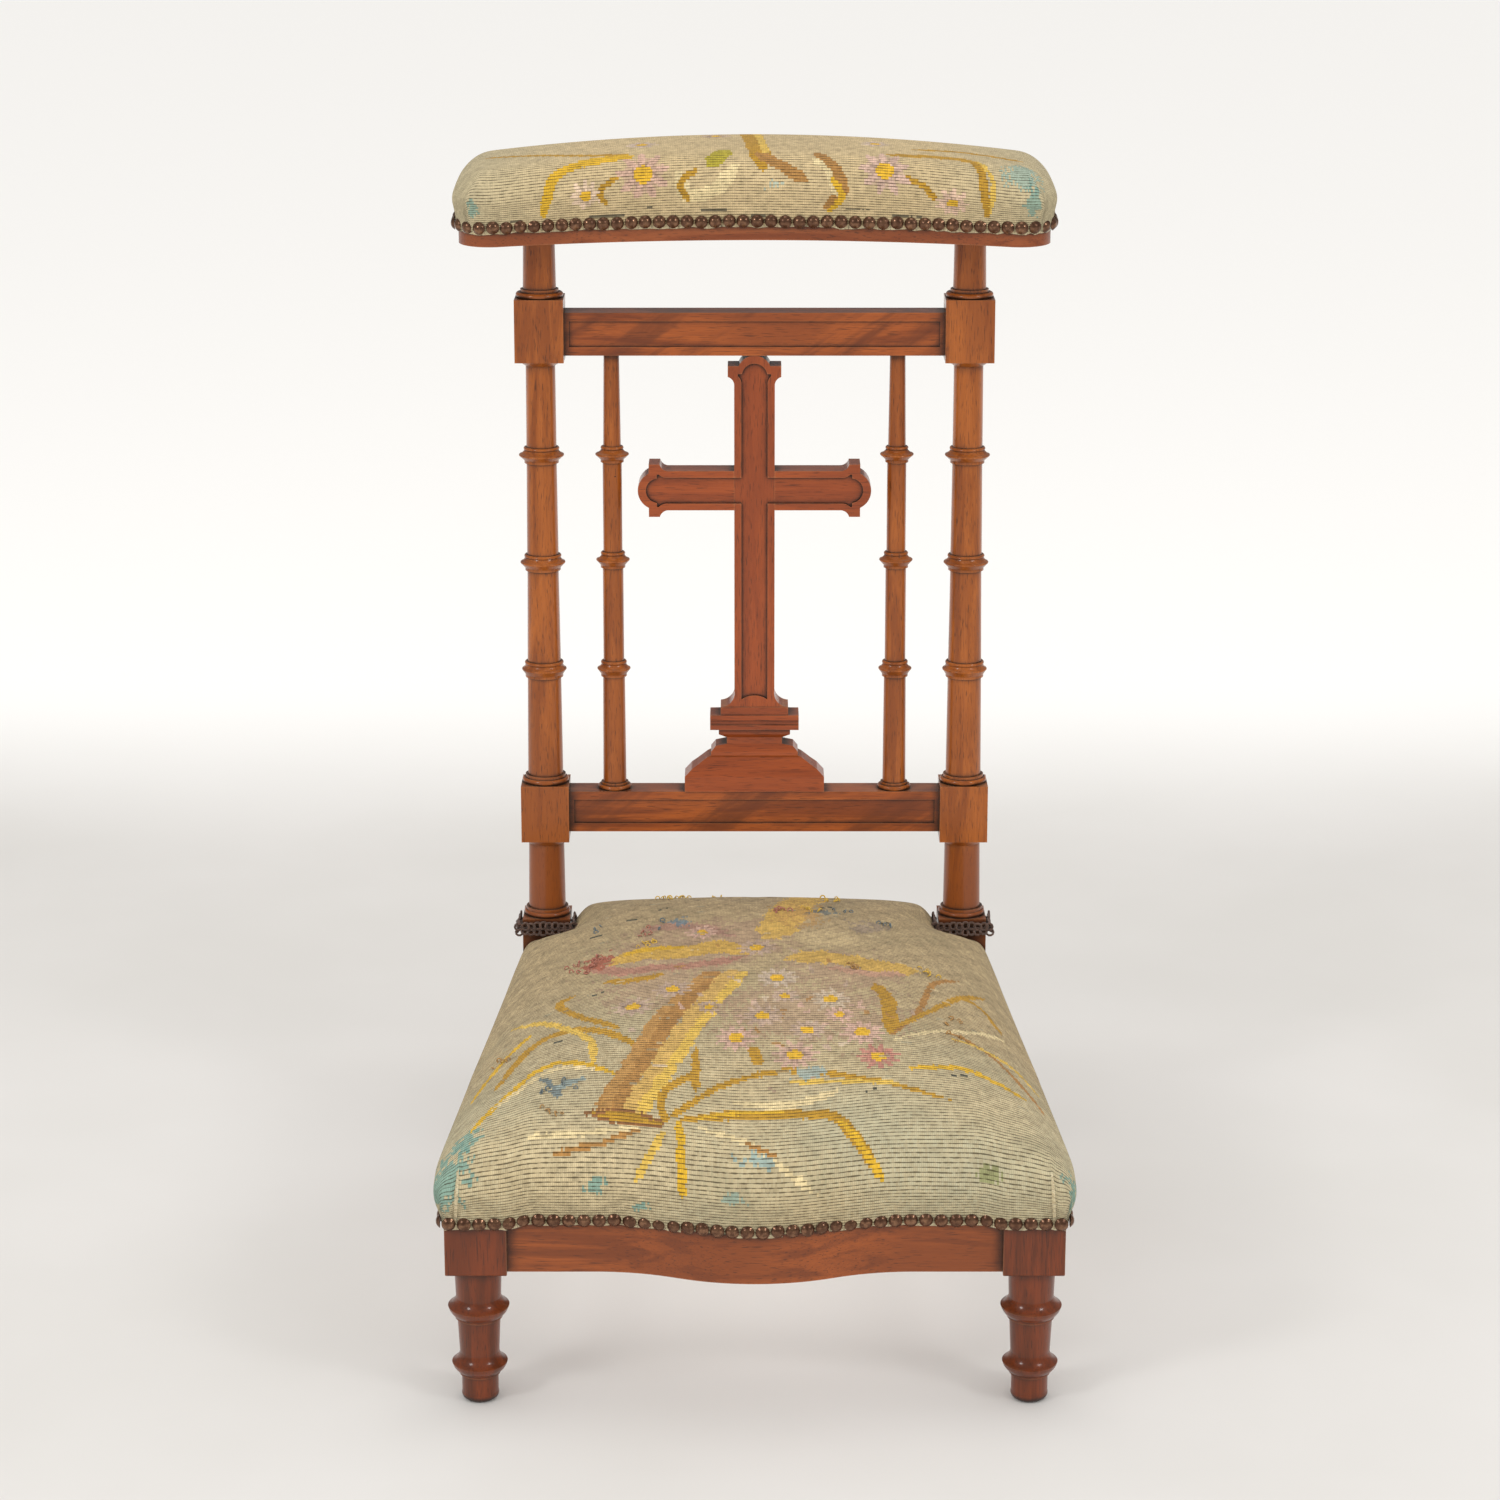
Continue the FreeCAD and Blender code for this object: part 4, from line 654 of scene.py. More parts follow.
# %% [markdown]
# ## Three layers
# An upholsterer ties the stuffing down with calico, and the needlepoint goes over that. So the same form
# gives three pieces: the cover is a thin shell, the calico lies 1.75 mm inside it with an edge that comes
# out below, and the stuffing fills the rest.


# %% Layers
def settled(piece, inset):
    """A bmesh of the form, moved inwards by inset."""
    mesh = bmesh.new()
    mesh.from_mesh(piece.data)
    mesh.normal_update()
    moves = [(vert, vert.normal * inset) for vert in mesh.verts]
    for vert, step in moves:
        vert.co -= step
    return mesh


def mesh_piece(name, mesh, smooth=True):
    """Turns a bmesh into an object of the scene."""
    data = bpy.data.meshes.new(name)
    mesh.to_mesh(data)
    mesh.free()
    for face in data.polygons:
        face.use_smooth = smooth
    piece = bpy.data.objects.new(name, data)
    bpy.context.scene.collection.objects.link(piece)
    return piece


def hem(mesh, levels):
    """Takes the open edge down or in by steps. Each level is a function that gives a vertex its new place."""
    rim = [one for one in mesh.edges if one.is_boundary]
    for level in levels:
        grown = bmesh.ops.extrude_edge_only(mesh, edges=rim)
        rim = [item for item in grown["geom"] if isinstance(item, bmesh.types.BMEdge)]
        for vert in [item for item in grown["geom"] if isinstance(item, bmesh.types.BMVert)]:
            vert.co = level(vert.co)
    return rim


def scalloped(share):
    """A hem's edge that comes down unevenly."""

    def place(co):
        wave = noise.noise(co * 300) * 0.9 + noise.noise(co * 80) * 0.7
        return Vector((co.x, co.y, co.z - share * (1.7 + wave) * MM))

    return place


def inner_layers(piece, name, floor_level):
    """The calico under a cover and the filling under the calico."""
    mesh = settled(piece, 1.75 * MM)
    hem(mesh, [scalloped(1.0), scalloped(0.6)])
    calico_piece = mesh_piece(name + "_calico_layer", mesh)
    wall = calico_piece.modifiers.new("thickness", "SOLIDIFY")
    wall.thickness, wall.offset = 0.5 * MM, 0.0
    mesh = settled(piece, 3.0 * MM)
    for vert in mesh.verts:
        vert.co.z = max(vert.co.z, floor_level)
    bmesh.ops.contextual_create(mesh, geom=[one for one in mesh.edges if one.is_boundary])
    bmesh.ops.dissolve_degenerate(mesh, dist=0.01 * MM, edges=mesh.edges)
    bmesh.ops.recalc_face_normals(mesh, faces=mesh.faces)
    return calico_piece, mesh_piece(name + "_filling", mesh)


def shell(piece):
    """Gives a cover its thickness, inwards."""
    for face in piece.data.polygons:
        face.use_smooth = True
    wall = piece.modifiers.new("thickness", "SOLIDIFY")
    wall.thickness, wall.offset = 1.3 * MM, -1.0
    return piece


FOLD_TOP = 200 * MM
FOLD_ACROSS = 212 * MM


def folded(co):
    """Sinks a narrow pleat with a raised lip into the cloth at both front corners."""
    if co.y < SEAT_FRONT + 30 * MM and co.z < FOLD_TOP:
        gap = abs(co.x) - FOLD_ACROSS - (NAIL_EDGE - co.z) * 0.06
        deep = eased(0, 16 * MM, FOLD_TOP - co.z)
        co.y += 2.6 * MM * deep * math.exp(-((gap / (1.7 * MM)) ** 2))
        co.y -= 0.9 * MM * deep * math.exp(-(((gap - 4 * MM) / (2.2 * MM)) ** 2))


seat_layers = inner_layers(seat_piece, "seat", rail_top + 4.3 * MM)
finer(seat_piece)
for vert in seat_piece.data.vertices:
    folded(vert.co)
shell(seat_piece)
print("seat faces:", len(seat_piece.data.polygons))

# %% [markdown]
# ## The elbow cushion
# It is a crescent: hollow in front and bowed behind, with round ends. The cloth is again one rectangle.
# Near its corners the square is drawn into a quarter circle, and the whole then bends to the crescent.

# %% Elbow shape
PAD_HALF = pad_high.x
PAD_ROLL = 22 * MM
PAD_DEEP = 63 * MM
PAD_DROP = 30 * MM
PAD_ROW = 2.25 * MM
PAD_EDGE = pad_low.z + 2.5 * MM


def front_edge(x):
    """The pad's front edge: an arc whose ends come forward to the person."""
    return (160.4 - 39.45 * (abs(x) / (225 * MM)) ** 2) * MM


def back_edge(x):
    """The pad's back edge, a flatter arc."""
    return (286.7 - 33.45 * (abs(x) / (225 * MM)) ** 2) * MM


def elbow_point(x, y, z):
    """Moves a point of the flat cloth to its place on the elbow pad."""
    end, end_drop = rolled(abs(x), PAD_HALF, PAD_ROLL)
    deep, deep_drop = rolled(abs(y), PAD_DEEP, PAD_ROLL)
    drop = (end_drop**2.6 + deep_drop**2.6) ** (1 / 2.6)
    flat_x, flat_y = math.copysign(end, x), math.copysign(deep, y)
    flat_x, flat_y = drawn_round(flat_x, flat_y, PAD_HALF, PAD_DEEP, (35 if y < 0 else 25) * MM)
    share = (flat_y / PAD_DEEP + 1) / 2
    place_y = front_edge(flat_x) * (1 - share) + back_edge(flat_x) * share
    fall = 5 * MM * (flat_y / PAD_DEEP) ** 2 + 10 * MM * (flat_x / PAD_HALF) ** 2
    height = pad_high.z - fall - drop
    height += (PAD_EDGE - height) * min(1.0, -z / PAD_DROP)
    swell = math.exp(-(((height - 802 * MM) / (11 * MM)) ** 2)) * 3 * MM
    flat_x += math.copysign(swell * min(1.0, end_drop / (6 * MM)), x)
    return Vector((flat_x, place_y + math.copysign(swell * 0.5 * min(1.0, deep_drop / (6 * MM)), y), height))


pad_spare = PAD_ROLL * (math.pi / 2 - 1)
elbow_mesh = cloth_grid(
    (-PAD_HALF - pad_spare, PAD_HALF + pad_spare),
    (-PAD_DEEP - pad_spare, PAD_DEEP + pad_spare),
    (4 * STITCH, 2 * PAD_ROW),
    (PAD_DROP, 6),
)
for vert in elbow_mesh.verts:
    vert.co = elbow_point(*vert.co)
elbow_piece = stuffed("elbow_needlepoint", elbow_mesh, pressure=1.5, travel=1.5 * MM)
elbow_layers = inner_layers(elbow_piece, "elbow", PAD_EDGE + 12.5 * MM)
shell(finer(elbow_piece))
print("elbow faces:", len(elbow_piece.data.polygons))

# %% [markdown]
# ## Painting with stitches
# In needlepoint each stitch has one colour. So each small face takes the colour that the pattern has at its
# stitch, and edges step as they do in wool. The pattern is drawn with a few kinds of mark, given in
# millimetres on the cloth: strokes that taper, daisies, patches with ragged edges and loose specks.


# %% Pattern tools
class Canvas:
    """The stitches of one cover: their places in the cloth in millimetres, and their colours."""

    def __init__(self, piece, row, seed):
        data = piece.data
        layer = data.uv_layers["cloth"].data
        uv = np.zeros(len(layer) * 2)
        layer.foreach_get("uv", uv)
        uv = uv.reshape(-1, 2) * 1000
        starts = np.zeros(len(data.polygons), int)
        totals = np.zeros(len(data.polygons), int)
        data.polygons.foreach_get("loop_start", starts)
        data.polygons.foreach_get("loop_total", totals)
        sums = np.add.reduceat(uv, starts, axis=0)
        middle = sums / totals[:, None]
        self.piece, self.totals = piece, totals
        across = STITCH / MM
        self.x = (np.floor(middle[:, 0] / across) + 0.5) * across
        self.y = (np.floor(middle[:, 1] / row) + 0.5) * row
        self.random = np.random.default_rng(seed)
        self.ragged = self.grain(2.6, 1.0)
        self.colour = np.zeros((len(middle), 3))

    def grain(self, size, depth):
        """Uneven values, the same for the same stitch, with features of about the given size."""
        waves = np.zeros_like(self.x)
        for turn in (0.3, 1.4, 2.2, 4.1, 5.3):
            shift = self.random.uniform(0, 6.28, 2)
            along = self.x * math.cos(turn) + self.y * math.sin(turn)
            waves += np.sin(along / size + shift[0] + 1.7 * np.sin(along / (size * 2.3) + shift[1]))
        speckle = np.sin(self.x * 12.9898 + self.y * 78.233) * 43758.5453
        speckle = (speckle - np.floor(speckle)) * 2 - 1
        return depth * (waves * 0.26 + speckle * 0.62)

    def paint(self, share, tint, variation=0.17):
        """Puts a colour where share is above 0, a little different in each stitch."""
        tone = 1 + variation * self.ragged[:, None]
        amount = np.clip(share, 0, 1)[:, None]
        self.colour = self.colour * (1 - amount) + np.array(tint) * tone * amount

    def stroke(self, points, width, tint, taper=(0.4, 0.4), ragged=0.5, cover=1.0):
        """A smooth stroke through a few points, thinner at its ends."""
        line = smooth_line(points)
        best, place = np.full(len(self.x), 1e9), np.zeros(len(self.x))
        for step in range(len(line) - 1):
            ax, ay = line[step]
            bx, by = line[step + 1]
            span = max((bx - ax) ** 2 + (by - ay) ** 2, 1e-9)
            t = np.clip(((self.x - ax) * (bx - ax) + (self.y - ay) * (by - ay)) / span, 0, 1)
            gap = np.hypot(self.x - ax - t * (bx - ax), self.y - ay - t * (by - ay))
            closer = gap < best
            best = np.where(closer, gap, best)
            place = np.where(closer, (step + t) / (len(line) - 1), place)
        thin = np.minimum(1, taper[0] + place * 4) * np.minimum(1, taper[1] + (1 - place) * 4)
        self.paint((best < width / 2 * thin + ragged * self.ragged) * cover, tint)

    def patch(self, x, y, half_x, half_y, tint, lean=0.0, ragged=0.35, cover=1.0):
        """A rounded patch with a ragged edge."""
        dx, dy = self.x - x, self.y - y
        turned = dx * math.cos(lean) + dy * math.sin(lean), -dx * math.sin(lean) + dy * math.cos(lean)
        reach = np.hypot(turned[0] / half_x, turned[1] / half_y)
        self.paint((reach + ragged * self.ragged < 1) * cover, tint)

    def daisy(self, x, y, radius, petal, heart=(0.72, 0.42, 0.025), petals=11):
        """Petals round a yellow heart. The petals alternate between two tones."""
        dx, dy = self.x - x, self.y - y
        away, turn = np.hypot(dx, dy), np.arctan2(dy, dx)
        wave = np.cos(turn * petals + x)
        edge = radius * (0.78 + 0.22 * wave) + 1.1 * self.ragged
        self.paint((away < radius * 0.72 + self.ragged) * 0.6, [tone * 0.86 for tone in petal])
        self.paint((away < edge) * (wave > -0.55), petal, 0.2)
        self.paint((away < edge * 0.8) * (wave < -0.2) * 0.8, [tone * 0.62 for tone in petal])
        self.paint(away < radius * 0.34 + 0.3 * self.ragged, heart)

    def done(self):
        """Writes the colours to the mesh as a face-corner attribute."""
        data = self.piece.data
        layer = data.color_attributes.new("wool", "FLOAT_COLOR", "CORNER")
        spread = np.repeat(np.clip(self.colour, 0, 1), self.totals, axis=0)
        spread = np.hstack([spread, np.ones((len(spread), 1))])
        layer.data.foreach_set("color", spread.astype(np.float32).ravel())
        print(self.piece.name, "stitched:", len(self.x), "faces")


def smooth_line(points, steps=7):
    """Points along a curve that passes through the given points."""
    ends = [points[0]] + list(points) + [points[-1]]
    line = []
    for a, b, c, d in zip(ends, ends[1:], ends[2:], ends[3:]):
        for step in range(steps):
            t = step / steps
            spot = []
            for p, q, r, s in zip(a, b, c, d):
                square, cube = 2 * p - 5 * q + 4 * r - s, 3 * q - p - 3 * r + s
                spot.append(0.5 * (2 * q + (r - p) * t + square * t**2 + cube * t**3))
            line.append(spot)
    return line + [list(points[-1])]


SAGE, STRAW, MIST = (0.50, 0.42, 0.26), (0.56, 0.43, 0.235), (0.43, 0.41, 0.28)
# the seat's ground colour at the back: the wool's own hue, darkened by painted shade
REAR_GROUND_SHADED = (0.44, 0.335, 0.185)
OCHRE, GOLD, LEMON = (0.47, 0.255, 0.022), (0.66, 0.39, 0.022), (0.70, 0.46, 0.085)
CREAM, TAN, BROWN = (0.72, 0.58, 0.32), (0.40, 0.20, 0.055), (0.26, 0.11, 0.035)
MAUVE, ROSE, SALMON = (0.50, 0.36, 0.27), (0.62, 0.40, 0.31), (0.42, 0.13, 0.08)
TEAL, SLATE, INK = (0.17, 0.36, 0.31), (0.16, 0.20, 0.20), (0.05, 0.06, 0.05)
print("canvas ready")

# %% [markdown]
# ## The seat's picture
# A basket of daisies has tipped over. The basket lies as a tan and straw ribbon across the middle, the
# flowers spill to the right, and long blades of grass sweep out to both sides. Old repairs and faded wool
# leave patches of teal and blue-grey.

# %% Seat needlework
seat = Canvas(seat_piece, ROW / MM, seed=11)
# The ground is darker at the back and lighter towards the front: partly the wool's own colours, partly painted
# shade on the top of the seat, which takes less light than its front.
seat.paint(np.ones(len(seat.x)), REAR_GROUND_SHADED, 0.22)
seat.paint(np.clip(-seat.y / 110 - 1.0, 0, 1), SAGE, 0.18)
faded = np.clip(0.5 + 0.35 * seat.grain(38, 1.0), 0, 1)
seat.paint(faded * np.clip(-seat.y / 110 - 1.0, 0.15, 0.7), STRAW, 0.18)
misty = np.clip(0.4 + 0.4 * seat.grain(30, 1.0), 0, 0.8)
seat.paint(np.clip(-seat.y / 260, 0, 1) * misty, MIST, 0.08)
seat.paint(np.clip(seat.grain(17, 1.0) - 0.6, 0, 0.35), (0.27, 0.23, 0.13))
# soft mauve shadows behind the flowers
SHADOW = (0.46, 0.315, 0.20)
shadows = ((40, -95, 62, 44), (-60, 20, 62, 46), (-10, 50, 46, 34), (-78, -50, 40, 42), (72, -20, 44, 34))
for x, y, wide, high in shadows:
    seat.patch(x, y, wide, high, SHADOW, ragged=0.5, cover=0.75)
# grass behind the basket
for points, width, tint in (
    ([(-86, -151), (-118, -124), (-146, -112), (-172, -124), (-192, -176)], 6.5, OCHRE),
    ([(-104, -122), (-134, -94), (-158, -56), (-146, -44)], 5.5, OCHRE),
    ([(-196, -64), (-166, -84), (-146, -108), (-124, -139), (-120, -172)], 5.0, LEMON),
    ([(-212, -170), (-194, -126), (-176, -98)], 4.0, GOLD),
    ([(-204, -230), (-182, -198), (-160, -170), (-134, -169), (-98, -190)], 5.0, GOLD),
    ([(-190, -208), (-150, -176), (-118, -180)], 4.0, CREAM),
    ([(104, -133), (128, -88), (148, -20), (172, 4)], 4.0, TAN),
    ([(108, -122), (138, -80), (168, -34), (194, -8)], 4.5, OCHRE),
    ([(168, -32), (188, -38), (200, -68)], 4.5, OCHRE),
    ([(114, -180), (160, -172), (200, -186)], 5.0, GOLD),
    ([(142, -108), (180, -128), (214, -186)], 3.5, TAN),
    ([(106, -139), (148, -110), (200, -80)], 4.0, CREAM),
    ([(150, -120), (190, -128), (216, -150)], 4.0, LEMON),
):
    seat.stroke(points, width * 1.25, tint, ragged=0.7)
# the basket's ribbon: tan on the left, straw on the right
for points, width, tint, begins, ragged in (
    ([(-104, -228), (-86, -169), (-64, -100), (-35, -38)], 21, TAN, 0.9, 1.6),
    ([(-108, -226), (-92, -169), (-72, -100), (-42, -40)], 9, (0.47, 0.25, 0.075), 0.9, 1.5),
    ([(-86, -230), (-67, -172), (-46, -108), (-18, -36)], 19, (0.60, 0.38, 0.11), 0.9, 2.0),
    ([(-80, -228), (-60, -172), (-38, -108), (-9, -34)], 9, LEMON, 0.8, 1.4),
):
    seat.stroke(points, width, tint, taper=(begins, 0.9), ragged=ragged)
seat.patch(-92, -236, 27, 7, BROWN, lean=-0.08, ragged=0.15)
seat.patch(-92, -236, 22, 4.2, OCHRE, lean=-0.08, ragged=0.2)
# the handle and the cushion of flowers at the upper left
seat.stroke([(-120, 10), (-92, 18), (-62, 13), (-30, 20), (-4, 8)], 27, (0.62, 0.385, 0.08), ragged=2.4)
seat.stroke([(-112, 22), (-84, 26), (-60, 24)], 8, GOLD, ragged=1.6)
seat.stroke([(-138, 6), (-110, -14), (-74, -17), (-38, -14), (-8, 0)], 13, (0.43, 0.215, 0.15), ragged=2.8)
seat.stroke([(-122, -30), (-100, -36), (-76, -30)], 9, OCHRE, ragged=1.8)
seat.patch(-132, 16, 12, 18, SALMON, ragged=0.45)
seat.stroke([(-98, 71), (-70, 72), (-42, 60), (-22, 46)], 16, (0.40, 0.215, 0.165), ragged=3.6, cover=0.8)
# the fallen cloth at the top and the yellow leaves at the right
seat.stroke([(14, 44), (24, 74), (34, 112), (56, 158)], 34, (0.64, 0.41, 0.10), taper=(0.5, 0.8), ragged=3.4)
seat.patch(40, 96, 20, 26, (0.60, 0.34, 0.10), ragged=0.6, cover=0.6)
seat.patch(64, 43, 26, 15, (0.62, 0.48, 0.26), ragged=0.5, cover=0.8)
seat.stroke([(32, -4), (62, 2), (98, -6), (134, -2)], 26, (0.60, 0.38, 0.09), ragged=3.0)
seat.stroke([(58, -20), (96, -24), (124, -14)], 10, (0.52, 0.30, 0.20), ragged=2.6)
seat.stroke([(98, -44), (106, -74), (104, -128)], 13, OCHRE, taper=(0.3, 0.4), ragged=1.0)
# loose petals between the daisies
petals = np.random.default_rng(17)
for petal in range(70):
    x, y = petals.normal(26, 44), petals.normal(-92, 40)
    turn, long = petals.uniform(0, math.pi), petals.uniform(3, 6)
    step = (long * math.cos(turn), long * math.sin(turn))
    tint = (MAUVE, ROSE, (0.58, 0.46, 0.33), TAN, (0.36, 0.25, 0.17))[petal % 5]
    seat.stroke([(x - step[0], y - step[1]), (x + step[0], y + step[1])], 3.2, tint, ragged=0.8, cover=0.85)
# daisies
for x, y, radius, petal in (
    (-66, -61, 16, MAUVE), (-96, -88, 17, MAUVE), (18, -42, 18, (0.56, 0.44, 0.33)), (6, -106, 17, MAUVE),
    (-14, -138, 17, ROSE), (40, -127, 15, MAUVE), (60, -79, 17, (0.58, 0.46, 0.33)), (82, -130, 18, ROSE),
    (30, -160, 18, (0.58, 0.38, 0.29)), (92, -164, 17, (0.50, 0.22, 0.17)), (2, 18, 18, MAUVE),
    (-46, 54, 15, ROSE), (24, -74, 12, MAUVE), (-36, -92, 11, MAUVE), (66, -104, 12, ROSE),
):
    seat.daisy(x, y, radius, petal)
# grass and leaves in front
for points, width, tint in (
    ([(-54, -234), (-16, -224), (24, -224), (56, -230), (72, -254), (88, -278)], 7.0, OCHRE),
    ([(-40, -229), (-10, -221), (20, -221)], 3.0, GOLD),
    ([(60, -234), (74, -256), (90, -281)], 4.0, GOLD),
    ([(-66, -238), (-46, -216), (-22, -193), (24, -178), (84, -194), (140, -218)], 4.5, OCHRE),
    ([(26, -190), (68, -195), (104, -199)], 4.0, LEMON),
    ([(-64, -236), (-66, -208), (-40, -178)], 5.0, OCHRE),
    ([(-44, -152), (-43, -202)], 4.5, OCHRE),
    ([(-54, -236), (-52, -262), (-51, -289)], 5.0, GOLD),
    ([(-64, -246), (-74, -264), (-84, -280)], 4.5, LEMON),
    ([(-40, -238), (-6, -250), (14, -264), (46, -288)], 3.5, CREAM),
    ([(-8, -249), (16, -262)], 3.0, TAN),
    ([(-80, -246), (-108, -258), (-142, -266)], 3.5, TAN),
    ([(-84, -244), (-122, -251), (-160, -253)], 4.0, CREAM),
    ([(-14, -212), (30, -214), (60, -204)], 6.0, CREAM),
    ([(4, -170), (-2, -150)], 7.0, OCHRE),
):
    seat.stroke(points, width * 1.25, tint, ragged=0.7)
# faded and mended spots
for x, y, wide, high, tint in (
    (-222, -268, 17, 24, TEAL), (-206, -240, 12, 12, TEAL), (236, -272, 12, 20, TEAL), (-114, -286, 6, 5, TEAL),
    (-80, -303, 5, 4, TEAL), (0, -262, 9, 5, (0.30, 0.44, 0.42)), (-16, -288, 8, 4, (0.28, 0.40, 0.33)),
    (166, -278, 8, 4, (0.28, 0.30, 0.12)), (40, -181, 14, 6, (0.33, 0.44, 0.42)), (64, 104, 10, 6, SLATE),
    (-66, 80, 9, 7, (0.14, 0.24, 0.30)), (100, 78, 14, 11, (0.35, 0.27, 0.20)),
):
    seat.patch(x, y, wide, high, tint, ragged=0.7, cover=0.8)
for turn in range(11):
    away = (math.cos(turn * 2.1) * (12 + turn % 4 * 4), math.sin(turn * 2.1) * (6 + turn % 3 * 3))
    root = (-150 + turn % 3 * 6 + away[0] * 0.4, -204 + turn % 4 * 3 + away[1] * 0.4)
    tint = SLATE if turn % 3 else (0.27, 0.33, 0.31)
    seat.stroke([root, (root[0] + away[0] * 0.7, root[1] + away[1] * 0.7 + 2)], 4.4, tint, ragged=0.9)
# single rows of paler and darker wool
for dash in range(130):
    x, y = petals.uniform(-200, 200), petals.uniform(-210, 180)
    long = petals.uniform(3, 11)
    tint = ((0.27, 0.21, 0.12), (0.58, 0.46, 0.27), (0.33, 0.30, 0.20))[dash % 3]
    seat.stroke([(x - long / 2, y), (x + long / 2, y)], 1.7, tint, ragged=0.5, cover=0.7)
# dark slits where the wool has worn through
for x, y, long in (
    (-140, 76, 12), (-112, 96, 10), (-84, 116, 9), (66, 116, 12), (118, 92, 9), (-126, -52, 9),
    (150, -184, 12), (-150, -128, 8), (84, -208, 9),
):
    seat.stroke([(x - long / 2, y), (x + long / 2, y + 2)], 2.4, INK, ragged=0.4)
seat.done()

# %% [markdown]
# ## The elbow pad's picture
# An ochre ribbon hangs in the middle, with a daisy on each side and leaves between them.

# %% Elbow needlework
elbow = Canvas(elbow_piece, PAD_ROW / MM, seed=23)
elbow.paint(np.ones(len(elbow.x)), (0.60, 0.46, 0.26), 0.18)
elbow.paint(np.clip(0.5 + 0.4 * elbow.grain(30, 1.0), 0, 0.8), STRAW, 0.10)
elbow.paint(np.clip(np.abs(elbow.x) / 230 - 0.55, 0, 0.45) * 1.2, MIST, 0.08)
for points, width, tint in (
    ([(-6, 60), (-2, 20), (2, -30), (6, -58)], 17, OCHRE),
    ([(-1, 60), (3, 20), (7, -30), (10, -56)], 6, LEMON),
    ([(2, -46), (24, -60), (38, -68)], 9, TAN),
    ([(-92, -44), (-126, -48), (-152, -60), (-160, -92)], 8, GOLD),
    ([(-96, -40), (-130, -36), (-170, -20), (-208, -6)], 5, OCHRE),
    ([(-104, -64), (-116, -72), (-112, -84)], 5, OCHRE),
    ([(-58, -62), (-50, -80), (-30, -76), (-14, -58)], 11, CREAM),
    ([(-44, -60), (-56, -70), (-50, -84)], 5, OCHRE),
    ([(-20, -40), (-34, -56)], 13, (0.40, 0.33, 0.03)),
    ([(46, -44), (60, -58), (66, -74), (54, -90)], 9, TAN),
    ([(44, -50), (56, -62), (62, -80)], 5, CREAM),
    ([(58, -66), (66, -80), (56, -94)], 5, GOLD),
    ([(110, -62), (128, -68), (138, -78)], 5, OCHRE),
    ([(100, -40), (140, -38), (168, -44), (176, -92)], 7, OCHRE),
    ([(120, -20), (160, -14), (204, -22)], 5, OCHRE),
    ([(170, -40), (180, -60), (178, -86)], 3.5, LEMON),
):
    elbow.stroke(points, width, tint)
for x, y, radius, petal in (
    (-84, -62, 21, (0.62, 0.40, 0.30)), (98, -58, 20, (0.62, 0.42, 0.33)), (-128, -76, 13, (0.70, 0.52, 0.37)),
    (150, -80, 13, (0.70, 0.48, 0.35)), (-86, -12, 13, (0.60, 0.46, 0.36)), (92, -6, 12, (0.60, 0.46, 0.36)),
    (-30, 20, 12, MAUVE),
):
    elbow.daisy(x, y, radius, petal, petals=9)
for x, y, wide, high, tint in (
    (206, -52, 16, 12, (0.28, 0.44, 0.38)), (214, -74, 8, 12, TEAL), (-218, -84, 7, 9, TEAL),
    (16, -72, 8, 4, (0.36, 0.48, 0.42)),
):
    elbow.patch(x, y, wide, high, tint, ragged=0.6, cover=0.7)
# painted shade: dark rows of stitches just above the front nails
SHADED = (0.13, 0.11, 0.07)
for x, y, long in (
    (-184, -97, 14), (4, -98, 12), (-110, -96, 30), (-84, -90, 12),
    (76, -92, 22), (118, -96, 26), (-30, -94, 20),
):
    elbow.stroke([(x - long / 2, y), (x + long / 2, y + 1)], 1.6, SHADED, ragged=0.7)
elbow.done()

# %% [markdown]
# ## Wool
# The colour comes from the stitches. Rows of stitches stand up as ribs with dark lines between them, and
# each stitch is a small hump. The UV map is in metres on the cloth, so the ribs have their real pitch.

# %% Wool ribs
wires, given, taken = shade_group(
    "wool_ribs",
    [("Vector", "vector"), ("Row", "value"), ("Stitch", "value"), ("Gap", "value")],
    [("Height", "value"), ("Gap", "value"), ("Fuzz", "value")],
)
cloth_place = wires.add("SeparateXYZ")
wires.feed(cloth_place.inputs[0], given["Vector"])
drift = wires.noise(given["Vector"], 26.0, detail=2.0)
row_place = wires.math("DIVIDE", cloth_place.outputs["Y"], given["Row"])
row_place = wires.math("MULTIPLY_ADD", drift, 0.5, row_place)
stitch_place = wires.math("DIVIDE", cloth_place.outputs["X"], given["Stitch"])
rib = wires.math("ABSOLUTE", wires.math("SINE", wires.math("MULTIPLY", row_place, math.pi)))
hump = wires.math("ABSOLUTE", wires.math("SINE", wires.math("MULTIPLY", stitch_place, math.pi)))
uneven = wires.noise(given["Vector"], 240.0, detail=2.0)
gap_edge = wires.math("MULTIPLY", given["Gap"], wires.ramp(uneven, 0.3, 0.7, 0.35, 1.5))
gap_start, gap_end = wires.math("MULTIPLY", gap_edge, 0.5), wires.math("MULTIPLY", gap_edge, 1.25)
row_gap = wires.ramp(rib, gap_start, gap_end, 1.0, 0.0)
stitch_gap = wires.ramp(hump, 0.05, 0.45, 0.42, 0.0)
wires.feed(taken["Gap"], wires.math("MAXIMUM", row_gap, stitch_gap))
rounded = wires.math("MULTIPLY", wires.math("POWER", rib, 0.6), wires.math("MULTIPLY_ADD", hump, 0.35, 0.65))
fuzz = wires.noise(given["Vector"], 2600.0, detail=2.0)
wires.feed(taken["Height"], wires.math("MULTIPLY_ADD", fuzz, 0.22, rounded))
wires.feed(taken["Fuzz"], fuzz)
rib_group = wires.tree


